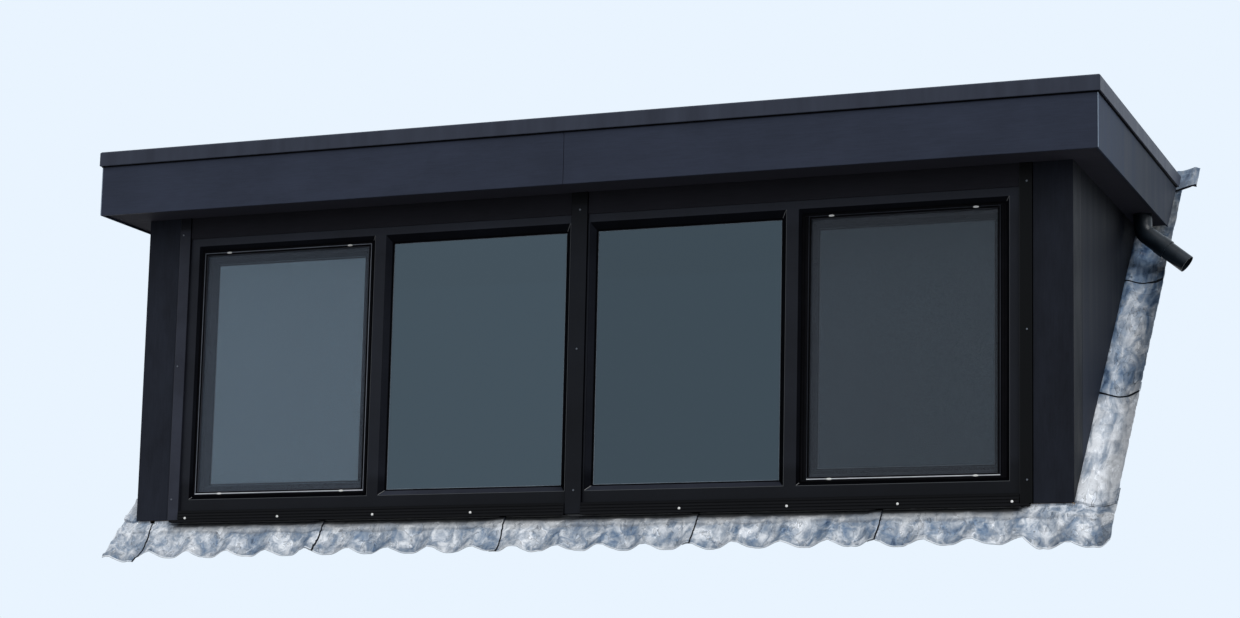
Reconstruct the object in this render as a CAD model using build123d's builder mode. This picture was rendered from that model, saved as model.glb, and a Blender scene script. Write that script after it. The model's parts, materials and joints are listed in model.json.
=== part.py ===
from build123d import *
import os
from math import cos, sin, tan, radians

# A box dormer window for a pitched roof: a wide flat-roofed dormer with two window units.
# Millimetres, +X to the right along the front, +Y back into the roof, +Z up.
# The origin is on the sloping seat, in the middle of the front curb's underside.

# Driving sizes of the whole dormer
roof_pitch = 45.5          # degrees, slope of the roof that the dormer sits on
front_width = 4300.0       # over the cladding
soffit_height = 1385.0     # from the cladding's foot to the fascia's lower edge
fascia_height = 237.0
front_overhang = 200.0     # from the front cladding to the fascia's face
side_overhang = 143.0      # from the side cladding to the fascia's face
seat_drop = 130.0          # roof boarding below the cladding's foot, straight down
seat_setback = 75.0        # from the front cladding's face back to the origin

# Walls
panel = 8.0                # cladding panels, soffits and fascia boards
corner_width = 165.0       # front face of the corner cladding, and its return on the cheek
panel_joint = 2.0          # open joint between two cladding panels
wall_core = 130.0          # insulated cheek wall
lining = 12.0              # inner boards of the cheeks and the ceiling
wall_depth = 121.0         # corner posts and front curb, front to back
curb_height = 157.0        # side curbs, straight up from the seat
curb_top = 20.0            # front curb's top above the cladding's foot
trimmer_height = 107.0     # rear trimmer's inner face

# Roof
deck_rise = 18.0           # top of the roof slab above the fascia boards
upstand_height = 32.0      # timber edge round the roof
upstand_width = 35.0
membrane = 3.0
back_skirt = 150.0         # membrane up the roof slope behind the dormer
tile_clearance = 20.0      # fascia's rear cut above the tile line, straight up
soffit_recess = 8.0        # soffit's face above the fascia's lower edge
trim_height = 60.0
trim_stand_out = 12.0
trim_sheet = 3.0
trim_lap = 6.0             # how far the trim hangs over the fascia
trim_top_width = 62.0
trim_lip = 9.0
trim_bevel = 5.0
trim_fall = 3.0            # the trim's top slopes to the roof
trim_gap = 0.3
cut_margin = 20.0          # how far a cut runs past the piece that it trims

# Drain in the roof
gully_inset = 40.0         # from the cheek's core inwards
gully_radius = 36.0
gully_depth = 90.0
flange_radius = 62.0
flange_sheet = 2.0
funnel_step = 4.0
funnel_wall = 3.0
funnel_length = 70.0

# Windows, all heights from the cladding's foot
unit_gap = 3.0             # half the joint between the two window units
unit_margin = 40.0         # cover strip's lap over the edge of a window unit
frame_bottom = 20.0
head_gap = 65.0            # from the fascia's lower edge down to the frame's top
frame_depth = 115.0
bottom_rail = 73.0         # frame's face below the lights
top_rail = 58.0
inner_stile = 42.0         # frame's face beside the joint of the units
outer_stile = 57.0
mullion_width = 53.0       # between the fixed light and the opening light
mullion_shift = 4.0        # mullion's middle from the middle of both lights, inwards
bevel_width = 23.0
head_bevel = 32.0          # width of the bevel under the top rail
bevel_depth = 25.0
lip_depth = 42.0           # frame's outer lip that the sash closes against
glass = 24.0               # sealed double pane
fixed_glass_setback = 32.0
glass_rebate = 14.0
glass_clearance = 2.0
bead_width = 18.0
bead_depth = 20.0
sash_overlap = 12.0        # sash behind the frame's lip
sash_clearance = 2.0
seal_gap = 0.3
sash_width = 59.0
sash_depth = 75.0
sash_glass_setback = 20.0
screen_clearance = 0.3
screen_setback = 14.0
screen_depth = 18.0
screen_bar = 14.0
screen_groove = 3.0
mesh = 1.0

# Trims on the front
strip_width = 55.0
strip_depth = 14.0
post_width = 76.0
post_depth = 14.0
post_drop = 6.0            # foot of the centre post below the cladding's foot
strip_chamfer = 1.5
head_board_lap = 24.0      # over the frame's top rail
sill_drop = 10.0           # sill's lower edge below the cladding's foot
sill_top = 42.0
sill_stand_out = 14.0
sill_nose = 8.0            # slope from the sill's top to its face
sill_ribs = 4
rib_step = 1.2             # each rib stands back behind the one below
groove = 4.0
sill_end = 13.0            # from the cover strip's outer edge back to the sill's lower lip
lead = 3.0

# Inside
board = 18.0               # window board
board_reach = 42.0
board_top = 64.0
board_round = 5.0
plate_height = 90.0        # handle's plate on the sash
plate_width = 30.0
plate_thickness = 10.0
neck_radius = 9.0
neck_length = 28.0
lever_length = 128.0
lever_width = 20.0
lever_thickness = 12.0
lever_tail = 12.0          # lever's end above its neck
lever_round = 4.0

# Rain pipe
pipe_offset = 75.0         # from the cheek's cladding
pipe_y = 1100.0            # from the front cladding
pipe_radius = 40.0
pipe_wall = 2.4
elbow_swell = 1.0          # the elbow's wall is that much thicker than the pipe's
spigot_length = 48.0       # turned-down end of the pipe in the elbow's socket
spigot_step = 0.6
pipe_play = 1.0            # round the elbow in the soffit
pipe_stub = 78.0
pipe_angle = 51.0          # lower leg, from straight down
pipe_bend = 58.0
pipe_leg = 96.0
pipe_end = 150.0
collar_length = 42.0
collar_wall = 3.4
pipe_fit = 0.3

# Lead flashing
tile_pitch = 197.2         # width of one roof tile's wave
crest_offset = -17.0       # nearest crest to the middle
wave_height = 32.0         # square to the slope
lead_drop = 20.0           # top of the tile crests below the cladding's foot, straight down
apron_length = 203.0       # down the slope from the front curb
apron_flat = 62.0
apron_ends = (104.0, 206.0)  # seams of the corner pieces, from the left and the right corner
apron_seams = (-0.277, -0.072, 0.132, 0.317)  # the other seams, as shares of the front's width
lap_cover = 36.0
left_reach = 72.0          # left side flashing beyond the cladding, past a tile's crest
right_reach = 166.0
side_depth = 9.0           # how deep the side sheets are dressed into the tile wave
corner_climb = 100.0       # corner piece up the slope
corner_dressed = 40.0
corner_length = 236.0      # corner pieces down the slope
apron_start = 6.0
wave_margin = 8.0
wave_marks = ((0.0, 0.0), (0.18, -0.45), (0.34, -0.92), (0.5, -1.0), (0.66, -0.92), (0.82, -0.45),
              (1.0, 0.0))
lead_fit = 0.3
lap_fit = 2.2
side_start = 50.0
side_seams = (0.32, 0.678)  # shares of the side flashing's run
side_end = 27.0            # past the fascia's top edge, along the slope
side_lap_cover = 70.0
top_length = 153.0         # the uppermost side sheet, which reaches further under the tiles
top_overhang = 65.0        # beyond the sheets below it

# Levels and faces that follow from the sizes above
slope = tan(radians(roof_pitch))
front_y = -seat_setback
foot_z = seat_drop - seat_setback * slope
half = front_width / 2
core_y = front_y + panel
back_y = core_y + wall_depth
core_x = half - panel
wall_x = core_x - wall_core
room_x = wall_x - lining
fascia_bottom = foot_z + soffit_height
soffit_z = fascia_bottom + soffit_recess
deck_z = soffit_z + panel
ceiling_z = deck_z - lining
fascia_top = fascia_bottom + fascia_height
deck_top = fascia_top + deck_rise
fascia_y = front_y - front_overhang
fascia_x = half + side_overhang
strip_edge = half - corner_width
strip_inner = strip_edge - strip_width
flashing_edges = {-1: half + left_reach, 1: half + right_reach}
unit_edge = strip_edge - unit_margin
frame_top = soffit_height - head_gap
light_bottom = frame_bottom + bottom_rail
light_top = frame_top - top_rail
fixed_inner = unit_gap + inner_stile
sash_outer = unit_edge - outer_stile
mullion_x = (fixed_inner + sash_outer) / 2 - mullion_shift
fixed_outer = mullion_x - mullion_width / 2
sash_inner = mullion_x + mullion_width / 2
pipe_x = half + pipe_offset
elbow_radius = pipe_radius + elbow_swell


def seat_y(z):
    """The seat plane's Y at a height."""
    return z / slope


def seat_z(y):
    return y * slope


def foot_line(y):
    """The cladding's foot on the cheek, parallel to the roof slope."""
    return foot_z + (y - front_y) * slope


def foot_line_y(z):
    return front_y + (z - foot_z) / slope


def prism(points, x0, x1):
    """A piece of one section across the dormer, from points in Y and Z."""
    with BuildPart() as piece:
        with BuildSketch(Plane.YZ.offset(x0)):
            with BuildLine():
                Polyline(*points, close=True)
            make_face()
        extrude(amount=x1 - x0)
    return piece.part


def block(x0, x1, y0, y1, z0, z1):
    return prism([(y0, z0), (y1, z0), (y1, z1), (y0, z1)], x0, x1)


def ring(outer, inner, y0, y1):
    """A rectangular frame from two boxes given as (x0, x1, z0, z1)."""
    with BuildPart() as piece:
        with BuildSketch(Plane.XZ.offset(-y1)):
            for size, mode in ((outer, Mode.ADD), (inner, Mode.SUBTRACT)):
                with Locations(((size[0] + size[1]) / 2, (size[2] + size[3]) / 2)):
                    Rectangle(size[1] - size[0], size[3] - size[2], mode=mode)
        extrude(amount=y1 - y0)
    return piece.part


def grown(box, by):
    return (box[0] - by, box[1] + by, box[2] - by, box[3] + by)


def save(part, name):
    part.label = name
    export_step(part, f"parts/{name}.step")


def save_pair(part, name):
    """Writes the right-hand piece and its mirror image as two nodes."""
    save(part, f"{name}_right")
    save(mirror(part, about=Plane.YZ), f"{name}_left")


os.makedirs("parts", exist_ok=True)

# Curbs: the timber frame on the roof boarding, cut to its slope underneath
with BuildPart() as curb_front:
    add(prism([(core_y, seat_z(core_y)), (back_y, seat_z(back_y)),
               (back_y, foot_z + curb_top), (core_y, foot_z + curb_top)], -core_x, core_x))
save(curb_front.part, "curb_front")

with BuildPart() as curb_side:
    add(prism([(back_y, seat_z(back_y)), (seat_y(deck_z), deck_z),
               (seat_y(deck_z - curb_height), deck_z), (back_y, seat_z(back_y) + curb_height)],
              wall_x, core_x))
save_pair(curb_side.part, "curb")

trimmer_y = seat_y(deck_z - trimmer_height)
with BuildPart() as curb_rear:
    add(prism([(trimmer_y, deck_z - trimmer_height), (seat_y(deck_z), deck_z), (trimmer_y, deck_z)],
              -wall_x, wall_x))
save(curb_rear.part, "curb_rear")

# Walls
with BuildPart() as corner_posts:
    add(block(unit_edge, core_x, core_y, back_y, foot_z + curb_top, deck_z))
    mirror(about=Plane.YZ)
save(corner_posts.part, "corner_posts")

with BuildPart() as head_beam:
    add(block(-unit_edge, unit_edge, core_y, core_y + frame_depth, foot_z + frame_top, deck_z))
save(head_beam.part, "head_beam")

with BuildPart() as cheek:
    add(prism([(back_y, seat_z(back_y) + curb_height), (seat_y(deck_z - curb_height), deck_z),
               (back_y, deck_z)], wall_x, core_x))
save_pair(cheek.part, "cheek")

with BuildPart() as cheek_lining:
    add(prism([(back_y, seat_z(back_y)), (trimmer_y, seat_z(trimmer_y)),
               (trimmer_y, ceiling_z), (back_y, ceiling_z)], room_x, wall_x))
save_pair(cheek_lining.part, "cheek_lining")

# Corner cladding: one folded panel round each front corner, its return cut to the slope
return_y = front_y + corner_width
with BuildPart() as corner_cladding:
    with BuildSketch(Plane.XY.offset(foot_z)):
        with BuildLine():
            Polyline((strip_edge, front_y), (half, front_y), (half, return_y), (core_x, return_y),
                     (core_x, core_y), (strip_edge, core_y), close=True)
        make_face()
    extrude(amount=soffit_z - foot_z)
    add(prism([(front_y, foot_z), (return_y, foot_z), (return_y, foot_line(return_y))],
              core_x, half), mode=Mode.SUBTRACT)
save_pair(corner_cladding.part, "corner_cladding")

cheek_y = return_y + panel_joint
with BuildPart() as cheek_cladding:
    add(prism([(cheek_y, foot_line(cheek_y)), (foot_line_y(soffit_z), soffit_z), (cheek_y, soffit_z)],
              core_x, half))
save_pair(cheek_cladding.part, "cheek_cladding")

# Roof slab, with its timber edge and the drain's bore
tile_cut = foot_line_y(deck_z - tile_clearance)
tile_cut_top = foot_line_y(deck_top + upstand_height - tile_clearance)
deck_x = fascia_x - panel
deck_y = fascia_y + panel
gully_x = core_x - gully_inset
gully_y = front_y + pipe_y
rear_top = seat_y(deck_top)
with BuildPart() as roof_deck:
    add(prism([(deck_y, deck_z), (seat_y(deck_z), deck_z), (rear_top, deck_top), (deck_y, deck_top)],
              -deck_x, deck_x))
    with BuildSketch(Plane.XY.offset(deck_top)):
        with Locations((0, (deck_y + rear_top) / 2)):
            Rectangle(2 * deck_x, rear_top - deck_y)
        with Locations((0, (deck_y + rear_top) / 2 + upstand_width)):
            Rectangle(2 * (deck_x - upstand_width), rear_top - deck_y, mode=Mode.SUBTRACT)
    extrude(amount=upstand_height)
    for side in (-1, 1):
        x_in, x_out = sorted((side * core_x, side * (deck_x + cut_margin)))
        add(prism([(tile_cut, deck_z), (rear_top + upstand_height, deck_z),
                   (rear_top + upstand_height, deck_top + upstand_height),
                   (tile_cut_top, deck_top + upstand_height)], x_in, x_out), mode=Mode.SUBTRACT)
    with Locations((gully_x, gully_y, deck_top)):
        Hole(radius=gully_radius, depth=gully_depth)
save(roof_deck.part, "roof_deck")

with BuildPart() as ceiling:
    add(block(-wall_x, wall_x, back_y, trimmer_y, ceiling_z, deck_z))
save(ceiling.part, "ceiling")

# Membrane: a tray inside the upstand, over its top, and up the slope at the back
tray_x = deck_x - upstand_width
tray_y = deck_y + upstand_width
edge_top = deck_top + upstand_height
skirt_y = back_skirt * cos(radians(roof_pitch))
skirt_z = back_skirt * sin(radians(roof_pitch))
sheet_rise = membrane / cos(radians(roof_pitch))
tray_end = foot_line_y(deck_top - tile_clearance)
with BuildPart() as roof_membrane:
    add(block(-core_x, core_x, tray_y, rear_top, deck_top, deck_top + membrane))
    add(block(-tray_x, tray_x, tray_y, tray_end, deck_top, deck_top + membrane))
    add(block(-tray_x, tray_x, tray_y, tray_y + membrane, deck_top, edge_top))
    add(block(-deck_x, deck_x, deck_y, tray_y + membrane, edge_top, edge_top + membrane))
    for side in (-1, 1):
        inner, mid, outer = side * (tray_x - membrane), side * tray_x, side * deck_x
        x0, x1 = sorted((inner, mid))
        add(prism([(tray_y, deck_top), (tray_end, deck_top), (tile_cut_top, edge_top),
                   (tray_y, edge_top)], x0, x1))
        x0, x1 = sorted((inner, outer))
        add(block(x0, x1, deck_y, tile_cut_top, edge_top, edge_top + membrane))
    add(prism([(rear_top, deck_top), (rear_top + skirt_y, deck_top + skirt_z),
               (rear_top + skirt_y, deck_top + skirt_z + sheet_rise),
               (rear_top, deck_top + sheet_rise)], -core_x, core_x))
    with Locations((gully_x, gully_y, deck_top + membrane)):
        Hole(radius=gully_radius, depth=2 * membrane)
save(roof_membrane.part, "roof_membrane")

# Drain in the roof: a flanged funnel in the membrane
rim_z = deck_top + membrane
rim_x = gully_x + gully_radius
throat_x = rim_x - 2 * funnel_step
with BuildPart() as roof_outlet:
    with BuildSketch(Plane.XZ.offset(-gully_y)):
        with BuildLine():
            Polyline((rim_x - pipe_fit, rim_z), (gully_x + flange_radius, rim_z),
                     (gully_x + flange_radius, rim_z + flange_sheet),
                     (rim_x - funnel_step, rim_z + flange_sheet),
                     (throat_x, rim_z - 2 * funnel_step), (throat_x, rim_z - funnel_length),
                     (throat_x + funnel_wall, rim_z - funnel_length),
                     (throat_x + funnel_wall, rim_z - 2 * funnel_step), close=True)
        make_face()
    revolve(axis=Axis((gully_x, gully_y, 0), (0, 0, 1)))
save(roof_outlet.part, "roof_outlet")

# Soffits and fascia boards
soffit_end = foot_line_y(soffit_z - tile_clearance)
with BuildPart() as soffit_front:
    add(block(-deck_x, deck_x, deck_y, front_y, soffit_z, deck_z))
    add(block(-core_x, core_x, front_y, core_y, soffit_z, deck_z))
save(soffit_front.part, "soffit_front")

with BuildPart() as soffit_sides:
    add(prism([(front_y, soffit_z), (soffit_end, soffit_z), (tile_cut, deck_z), (front_y, deck_z)],
              half, deck_x))
    add(prism([(front_y, soffit_z), (foot_line_y(soffit_z), soffit_z),
               (foot_line_y(deck_z), deck_z), (front_y, deck_z)], core_x, half))
    mirror(about=Plane.YZ)
    with Locations((pipe_x, front_y + pipe_y, deck_z)):
        Hole(radius=elbow_radius + pipe_play, depth=2 * panel)
save(soffit_sides.part, "soffit_sides")

for side, name in ((-1, "left"), (1, "right")):
    with BuildPart() as fascia_front:
        x0, x1 = sorted((side * panel_joint / 2, side * fascia_x))
        add(block(x0, x1, fascia_y, deck_y, fascia_bottom, fascia_top))
    save(fascia_front.part, f"fascia_front_{name}")

with BuildPart() as fascia_side:
    add(prism([(deck_y, fascia_bottom), (foot_line_y(fascia_bottom - tile_clearance), fascia_bottom),
               (foot_line_y(fascia_top - tile_clearance), fascia_top), (deck_y, fascia_top)],
              deck_x, fascia_x))
save_pair(fascia_side.part, "fascia_side")

# Edge trim: a folded aluminium section with a drip, mitred at the front corners
trim_foot = fascia_top - trim_lap
trim_top = fascia_top + trim_height
trim_back = trim_stand_out - trim_top_width
trim_section = [(trim_gap, trim_foot), (trim_stand_out, trim_foot),
                (trim_stand_out, trim_top - trim_bevel), (trim_stand_out - trim_bevel, trim_top),
                (trim_back, trim_top - trim_fall), (trim_back, trim_top - trim_fall - trim_lip)]


def trim_run(plane, length):
    """One length of the trim's section, on a plane whose X points outwards."""
    with BuildPart() as run:
        with BuildSketch(plane):
            with BuildLine():
                Polyline(*trim_section)
                offset(amount=trim_sheet, side=Side.LEFT)
            make_face()
        extrude(amount=length)
    return run.part


with BuildPart() as roof_trim_front:
    add(trim_run(Plane(origin=(fascia_x + trim_top_width, fascia_y, 0), x_dir=(0, -1, 0),
                       z_dir=(-1, 0, 0)), 2 * (fascia_x + trim_top_width)))
    for side in (-1, 1):
        split(bisect_by=Plane(origin=(side * fascia_x, fascia_y, 0), x_dir=(0, 0, 1),
                              z_dir=(side, 1, 0)), keep=Keep.BOTTOM)
save(roof_trim_front.part, "roof_trim_front")

trim_end = foot_line_y(trim_top)
with BuildPart() as roof_trim_sides:
    add(trim_run(Plane(origin=(fascia_x, trim_end, 0), x_dir=(1, 0, 0), z_dir=(0, -1, 0)),
                 trim_end - fascia_y + trim_top_width))
    split(bisect_by=Plane(origin=(fascia_x, fascia_y, 0), x_dir=(0, 0, 1), z_dir=(1, 1, 0)),
          keep=Keep.TOP)
    add(prism([(foot_line_y(trim_foot - tile_clearance - cut_margin), trim_foot - cut_margin),
               (trim_end + 2 * cut_margin, trim_foot - cut_margin),
               (trim_end + 2 * cut_margin, trim_top + cut_margin),
               (foot_line_y(trim_top - tile_clearance + cut_margin), trim_top + cut_margin)],
              fascia_x - trim_top_width, fascia_x + trim_top_width), mode=Mode.SUBTRACT)
    mirror(about=Plane.YZ)
save(roof_trim_sides.part, "roof_trim_sides")

# Window units, built on the right and mirrored. Boxes are (x0, x1, z0, z1).
frame_box = (unit_gap, unit_edge, foot_z + frame_bottom, foot_z + frame_top)
fixed_light = (fixed_inner, fixed_outer, foot_z + light_bottom, foot_z + light_top)
sash_light = (sash_inner, sash_outer, foot_z + light_bottom, foot_z + light_top)


def lip_inside(light):
    """The opening inside the bevels of a light."""
    return (light[0] + bevel_width, light[1] - bevel_width, light[2] + bevel_width,
            light[3] - head_bevel)


fixed_lip = lip_inside(fixed_light)
sash_lip = lip_inside(sash_light)
fixed_glass_box = grown(fixed_lip, glass_rebate - glass_clearance)
sash_box = grown(sash_lip, sash_overlap)
frame_back = core_y + frame_depth
fixed_glass_y = core_y + fixed_glass_setback
sash_y = core_y + lip_depth + seal_gap


def opening_with_bevel(box, inner, y0, y1, depth):
    """Cuts a rectangular light whose outer edges slope inwards to a smaller opening."""
    with BuildPart() as cut:
        with BuildSketch(Plane.XZ.offset(-y0)):
            with Locations(((box[0] + box[1]) / 2, (box[2] + box[3]) / 2)):
                Rectangle(box[1] - box[0], box[3] - box[2])
        with BuildSketch(Plane.XZ.offset(-y0 - depth)):
            with Locations(((inner[0] + inner[1]) / 2, (inner[2] + inner[3]) / 2)):
                Rectangle(inner[1] - inner[0], inner[3] - inner[2])
        loft(ruled=True)
        add(block(inner[0], inner[1], y0 + depth, y1, inner[2], inner[3]))
    return cut.part


with BuildPart() as window_frame:
    add(block(frame_box[0], frame_box[1], core_y, frame_back, frame_box[2], frame_box[3]))
    for light, lip in ((fixed_light, fixed_lip), (sash_light, sash_lip)):
        add(opening_with_bevel(light, lip, core_y, frame_back, bevel_depth), mode=Mode.SUBTRACT)
    rebate = grown(fixed_lip, glass_rebate)
    add(block(rebate[0], rebate[1], fixed_glass_y, frame_back, rebate[2], rebate[3]),
        mode=Mode.SUBTRACT)
    rebate = grown(sash_box, sash_clearance)
    add(block(rebate[0], rebate[1], core_y + lip_depth, frame_back, rebate[2], rebate[3]),
        mode=Mode.SUBTRACT)
save_pair(window_frame.part, "window_frame")

with BuildPart() as fixed_glass:
    add(block(fixed_glass_box[0], fixed_glass_box[1], fixed_glass_y, fixed_glass_y + glass,
              fixed_glass_box[2], fixed_glass_box[3]))
save_pair(fixed_glass.part, "fixed_glass")

bead_y = fixed_glass_y + glass
bead_box = grown(fixed_lip, glass_rebate)
with BuildPart() as glazing_beads:
    add(ring(bead_box, grown(bead_box, -bead_width), bead_y, bead_y + bead_depth))
    mirror(about=Plane.YZ)
save(glazing_beads.part, "glazing_beads")

# Sashes: opening inwards, closed against the frame's lip
sash_glass_y = sash_y + sash_glass_setback
with BuildPart() as sash:
    add(block(sash_box[0], sash_box[1], sash_y, sash_y + sash_depth, sash_box[2], sash_box[3]))
    inner = grown(sash_box, -sash_width + sash_glass_setback)
    add(opening_with_bevel(inner, grown(inner, -sash_glass_setback), sash_y, sash_y + sash_depth,
                           sash_glass_setback), mode=Mode.SUBTRACT)
    rebate = grown(sash_box, glass_rebate - sash_width)
    add(block(rebate[0], rebate[1], sash_glass_y, sash_glass_y + glass, rebate[2], rebate[3]),
        mode=Mode.SUBTRACT)
save_pair(sash.part, "sash")

with BuildPart() as sash_glass:
    pane = grown(sash_box, glass_rebate - glass_clearance - sash_width)
    add(block(pane[0], pane[1], sash_glass_y, sash_glass_y + glass, pane[2], pane[3]))
save_pair(sash_glass.part, "sash_glass")

# Insect screens in the frame's lip, outside the sashes
screen_y = core_y + screen_setback
screen_box = grown(sash_lip, -screen_clearance)
with BuildPart() as screen_frame:
    add(ring(screen_box, grown(screen_box, -screen_bar), screen_y, screen_y + screen_depth))
save_pair(screen_frame.part, "screen_frame")

with BuildPart() as screen_mesh:
    net = grown(screen_box, -screen_bar)
    mesh_y = screen_y + screen_depth / 2
    add(block(net[0], net[1], mesh_y, mesh_y + mesh, net[2], net[3]))
    mirror(about=Plane.YZ)
save(screen_mesh.part, "screen_mesh")

# Trims on the front: strips beside the units, the post over their joint, the boards above them
strip_y = core_y - strip_depth
with BuildPart() as cover_strips:
    add(block(strip_inner, strip_edge, strip_y, core_y, foot_z, soffit_z))
    edges = cover_strips.edges().filter_by(Axis.Z).group_by(Axis.Y)[0]
    chamfer(edges, strip_chamfer)
    mirror(about=Plane.YZ)
save(cover_strips.part, "cover_strips")

post_half = post_width / 2
lead_face = core_y - lead - lead_fit
with BuildPart() as centre_post:
    add(block(-post_half, post_half, core_y - post_depth, core_y, foot_z + sill_top, soffit_z))
    add(block(-post_half, post_half, core_y - post_depth, lead_face, foot_z - post_drop,
              foot_z + sill_top))
    edges = centre_post.edges().filter_by(Axis.Z).group_by(Axis.Y)[0]
    chamfer(edges, strip_chamfer)
save(centre_post.part, "centre_post")

with BuildPart() as head_boards:
    add(block(post_half, strip_inner, front_y, core_y, foot_z + frame_top - head_board_lap,
              soffit_z))
    mirror(about=Plane.YZ)
save(head_boards.part, "head_boards")

# Ribbed sill profiles under the windows, hooked over the lead's upstand
sill_face = front_y - sill_stand_out
sill_low = foot_z - sill_drop
sill_high = foot_z + sill_top
curb_level = foot_z + curb_top
sill_section = [(core_y, sill_high), (sill_face + sill_nose, sill_high)]
rib = (sill_top + sill_drop) / sill_ribs
for step in range(sill_ribs - 1, 0, -1):
    level = sill_low + step * rib
    face = sill_face + rib_step * step
    sill_section += [(face, level + groove / 2), (face + groove, level + groove / 2),
                     (face + groove, level - groove / 2), (face, level - groove / 2)]
sill_section += [(sill_face, sill_low), (lead_face, sill_low), (lead_face, curb_level),
                 (core_y, curb_level)]
with BuildPart() as sill_profiles:
    add(prism(sill_section, post_half, strip_inner))
    add(block(strip_inner, strip_edge - sill_end, sill_face, lead_face, sill_low,
              foot_z - lead_fit))
    mirror(about=Plane.YZ)
save(sill_profiles.part, "sill_profiles")

# Inside: window board and a lever handle on each sash
with BuildPart() as window_board:
    add(block(-unit_edge, unit_edge, frame_back, frame_back + board_reach,
              foot_z + board_top - board, foot_z + board_top))
    edges = window_board.edges().filter_by(Axis.X).group_by(Axis.Y)[-1]
    fillet(edges, board_round)
save(window_board.part, "window_board")

handle_x = sash_box[0] + sash_width / 2
handle_z = (sash_box[2] + sash_box[3]) / 2
handle_y = sash_y + sash_depth
with BuildPart() as window_handles:
    with BuildSketch(Plane.XZ.offset(-handle_y)):
        with Locations((handle_x, handle_z)):
            SlotOverall(plate_height, plate_width, rotation=90)
    extrude(amount=-plate_thickness)
    with BuildSketch(Plane.XZ.offset(-handle_y - plate_thickness)):
        with Locations((handle_x, handle_z)):
            Circle(neck_radius)
    extrude(amount=-neck_length)
    with BuildSketch(Plane.XZ.offset(-handle_y - plate_thickness - neck_length)):
        with Locations((handle_x, handle_z - lever_length / 2 + lever_tail)):
            SlotOverall(lever_length, lever_width, rotation=90)
    extrude(amount=-lever_thickness)
    edges = window_handles.faces().sort_by(Axis.Y)[-1].edges()
    fillet(edges, lever_round)
    mirror(about=Plane.YZ)
save(window_handles.part, "window_handles")

# Lead flashing, its sections drawn square to the slope: X across, Y away from the roof
down = Vector(0, -cos(radians(roof_pitch)), -sin(radians(roof_pitch)))
lead_start = Vector(0, core_y, foot_z + (core_y - front_y) * slope - lead_drop)


def across(distance, rise=0.0, side=1):
    """Plane square to the slope at a distance down it. Its X points outwards on that side."""
    away = Vector(0, -sin(radians(roof_pitch)), cos(radians(roof_pitch)))
    origin = lead_start + down * distance + away * rise
    return Plane(origin=origin, x_dir=(side, 0, 0), z_dir=down * side)


def wave_level(x):
    """Level of the tile wave, 0 on a crest and -1 in a trough."""
    turn = ((x - crest_offset) / tile_pitch) % 1
    for (low, level_low), (high, level_high) in zip(wave_marks, wave_marks[1:]):
        if turn <= high:
            return level_low + (level_high - level_low) * (turn - low) / (high - low)


def wave_points(x0, x1, depth, side):
    """Points of the wave from x0 to x1, both measured outwards on that side."""
    turns = range(-int(front_width / tile_pitch), int(front_width / tile_pitch))
    places = sorted(side * (crest_offset + (turn + mark) * tile_pitch)
                    for turn in turns for mark, level in wave_marks[:-1])
    inside = [x for x in places if x0 + wave_margin < x < x1 - wave_margin]
    return [(x, depth * wave_level(side * x)) for x in [x0] + inside + [x1]]


def dressed_section(distance, rise, x0, x1, depth, side=1, lip=0.0):
    """A sheet's section across the slope, dressed into the tile wave, with an upturned lip."""
    points = wave_points(x0 + (lead if lip else 0), x1, depth, side)
    under = [(x, level - lead) for x, level in wave_points(x0, x1, depth, side)]
    with BuildSketch(across(distance, rise, side)) as section:
        with BuildLine():
            top = Spline(*points)
            Line(points[-1], under[-1])
            Spline(*under)
            if lip:
                Polyline(under[0], (x0, lip - rise), (x0 + lead, lip - rise), points[0])
            else:
                Line(under[0], points[0])
        make_face()
    return section.sketch


def flat_section(distance, rise, x0, x1, side=1):
    with BuildSketch(across(distance, rise, side)) as section:
        with BuildLine():
            Polyline((x0, 0), (x1, 0), (x1, -lead), (x0, -lead), close=True)
        make_face()
    return section.sketch


def front_sheet(x0, x1, rise, length, side=1):
    """A flat strip under the sill that falls into the waves towards its lower edge."""
    with BuildPart() as sheet:
        loft([flat_section(apron_start, rise, x0, x1, side),
              flat_section(apron_flat, rise, x0, x1, side)], ruled=True)
        loft([flat_section(apron_flat, rise, x0, x1, side),
              dressed_section(length, rise, x0, x1, wave_height, side)], ruled=True)
    return sheet.part


lap_rise = lead + lap_fit
upstand_z = lead_start.Z - 2 * lead
apron_laps = [apron_ends[0] - half] + [share * front_width for share in apron_seams]
apron_laps.append(half - apron_ends[1])
with BuildPart() as lead_apron:
    for i, (x0, x1) in enumerate(zip(apron_laps, apron_laps[1:])):
        left, right = x0 - lap_cover / 2, x1 + lap_cover / 2
        rise = lap_rise * (i % 2)
        add(block(left, right, core_y - lead, core_y, upstand_z, foot_z - lead_fit))
        add(block(left, right, core_y - lead - rise, core_y, upstand_z, sill_low - lead_fit))
        add(front_sheet(left, right, rise, apron_length))
save(lead_apron.part, "lead_apron")

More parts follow.
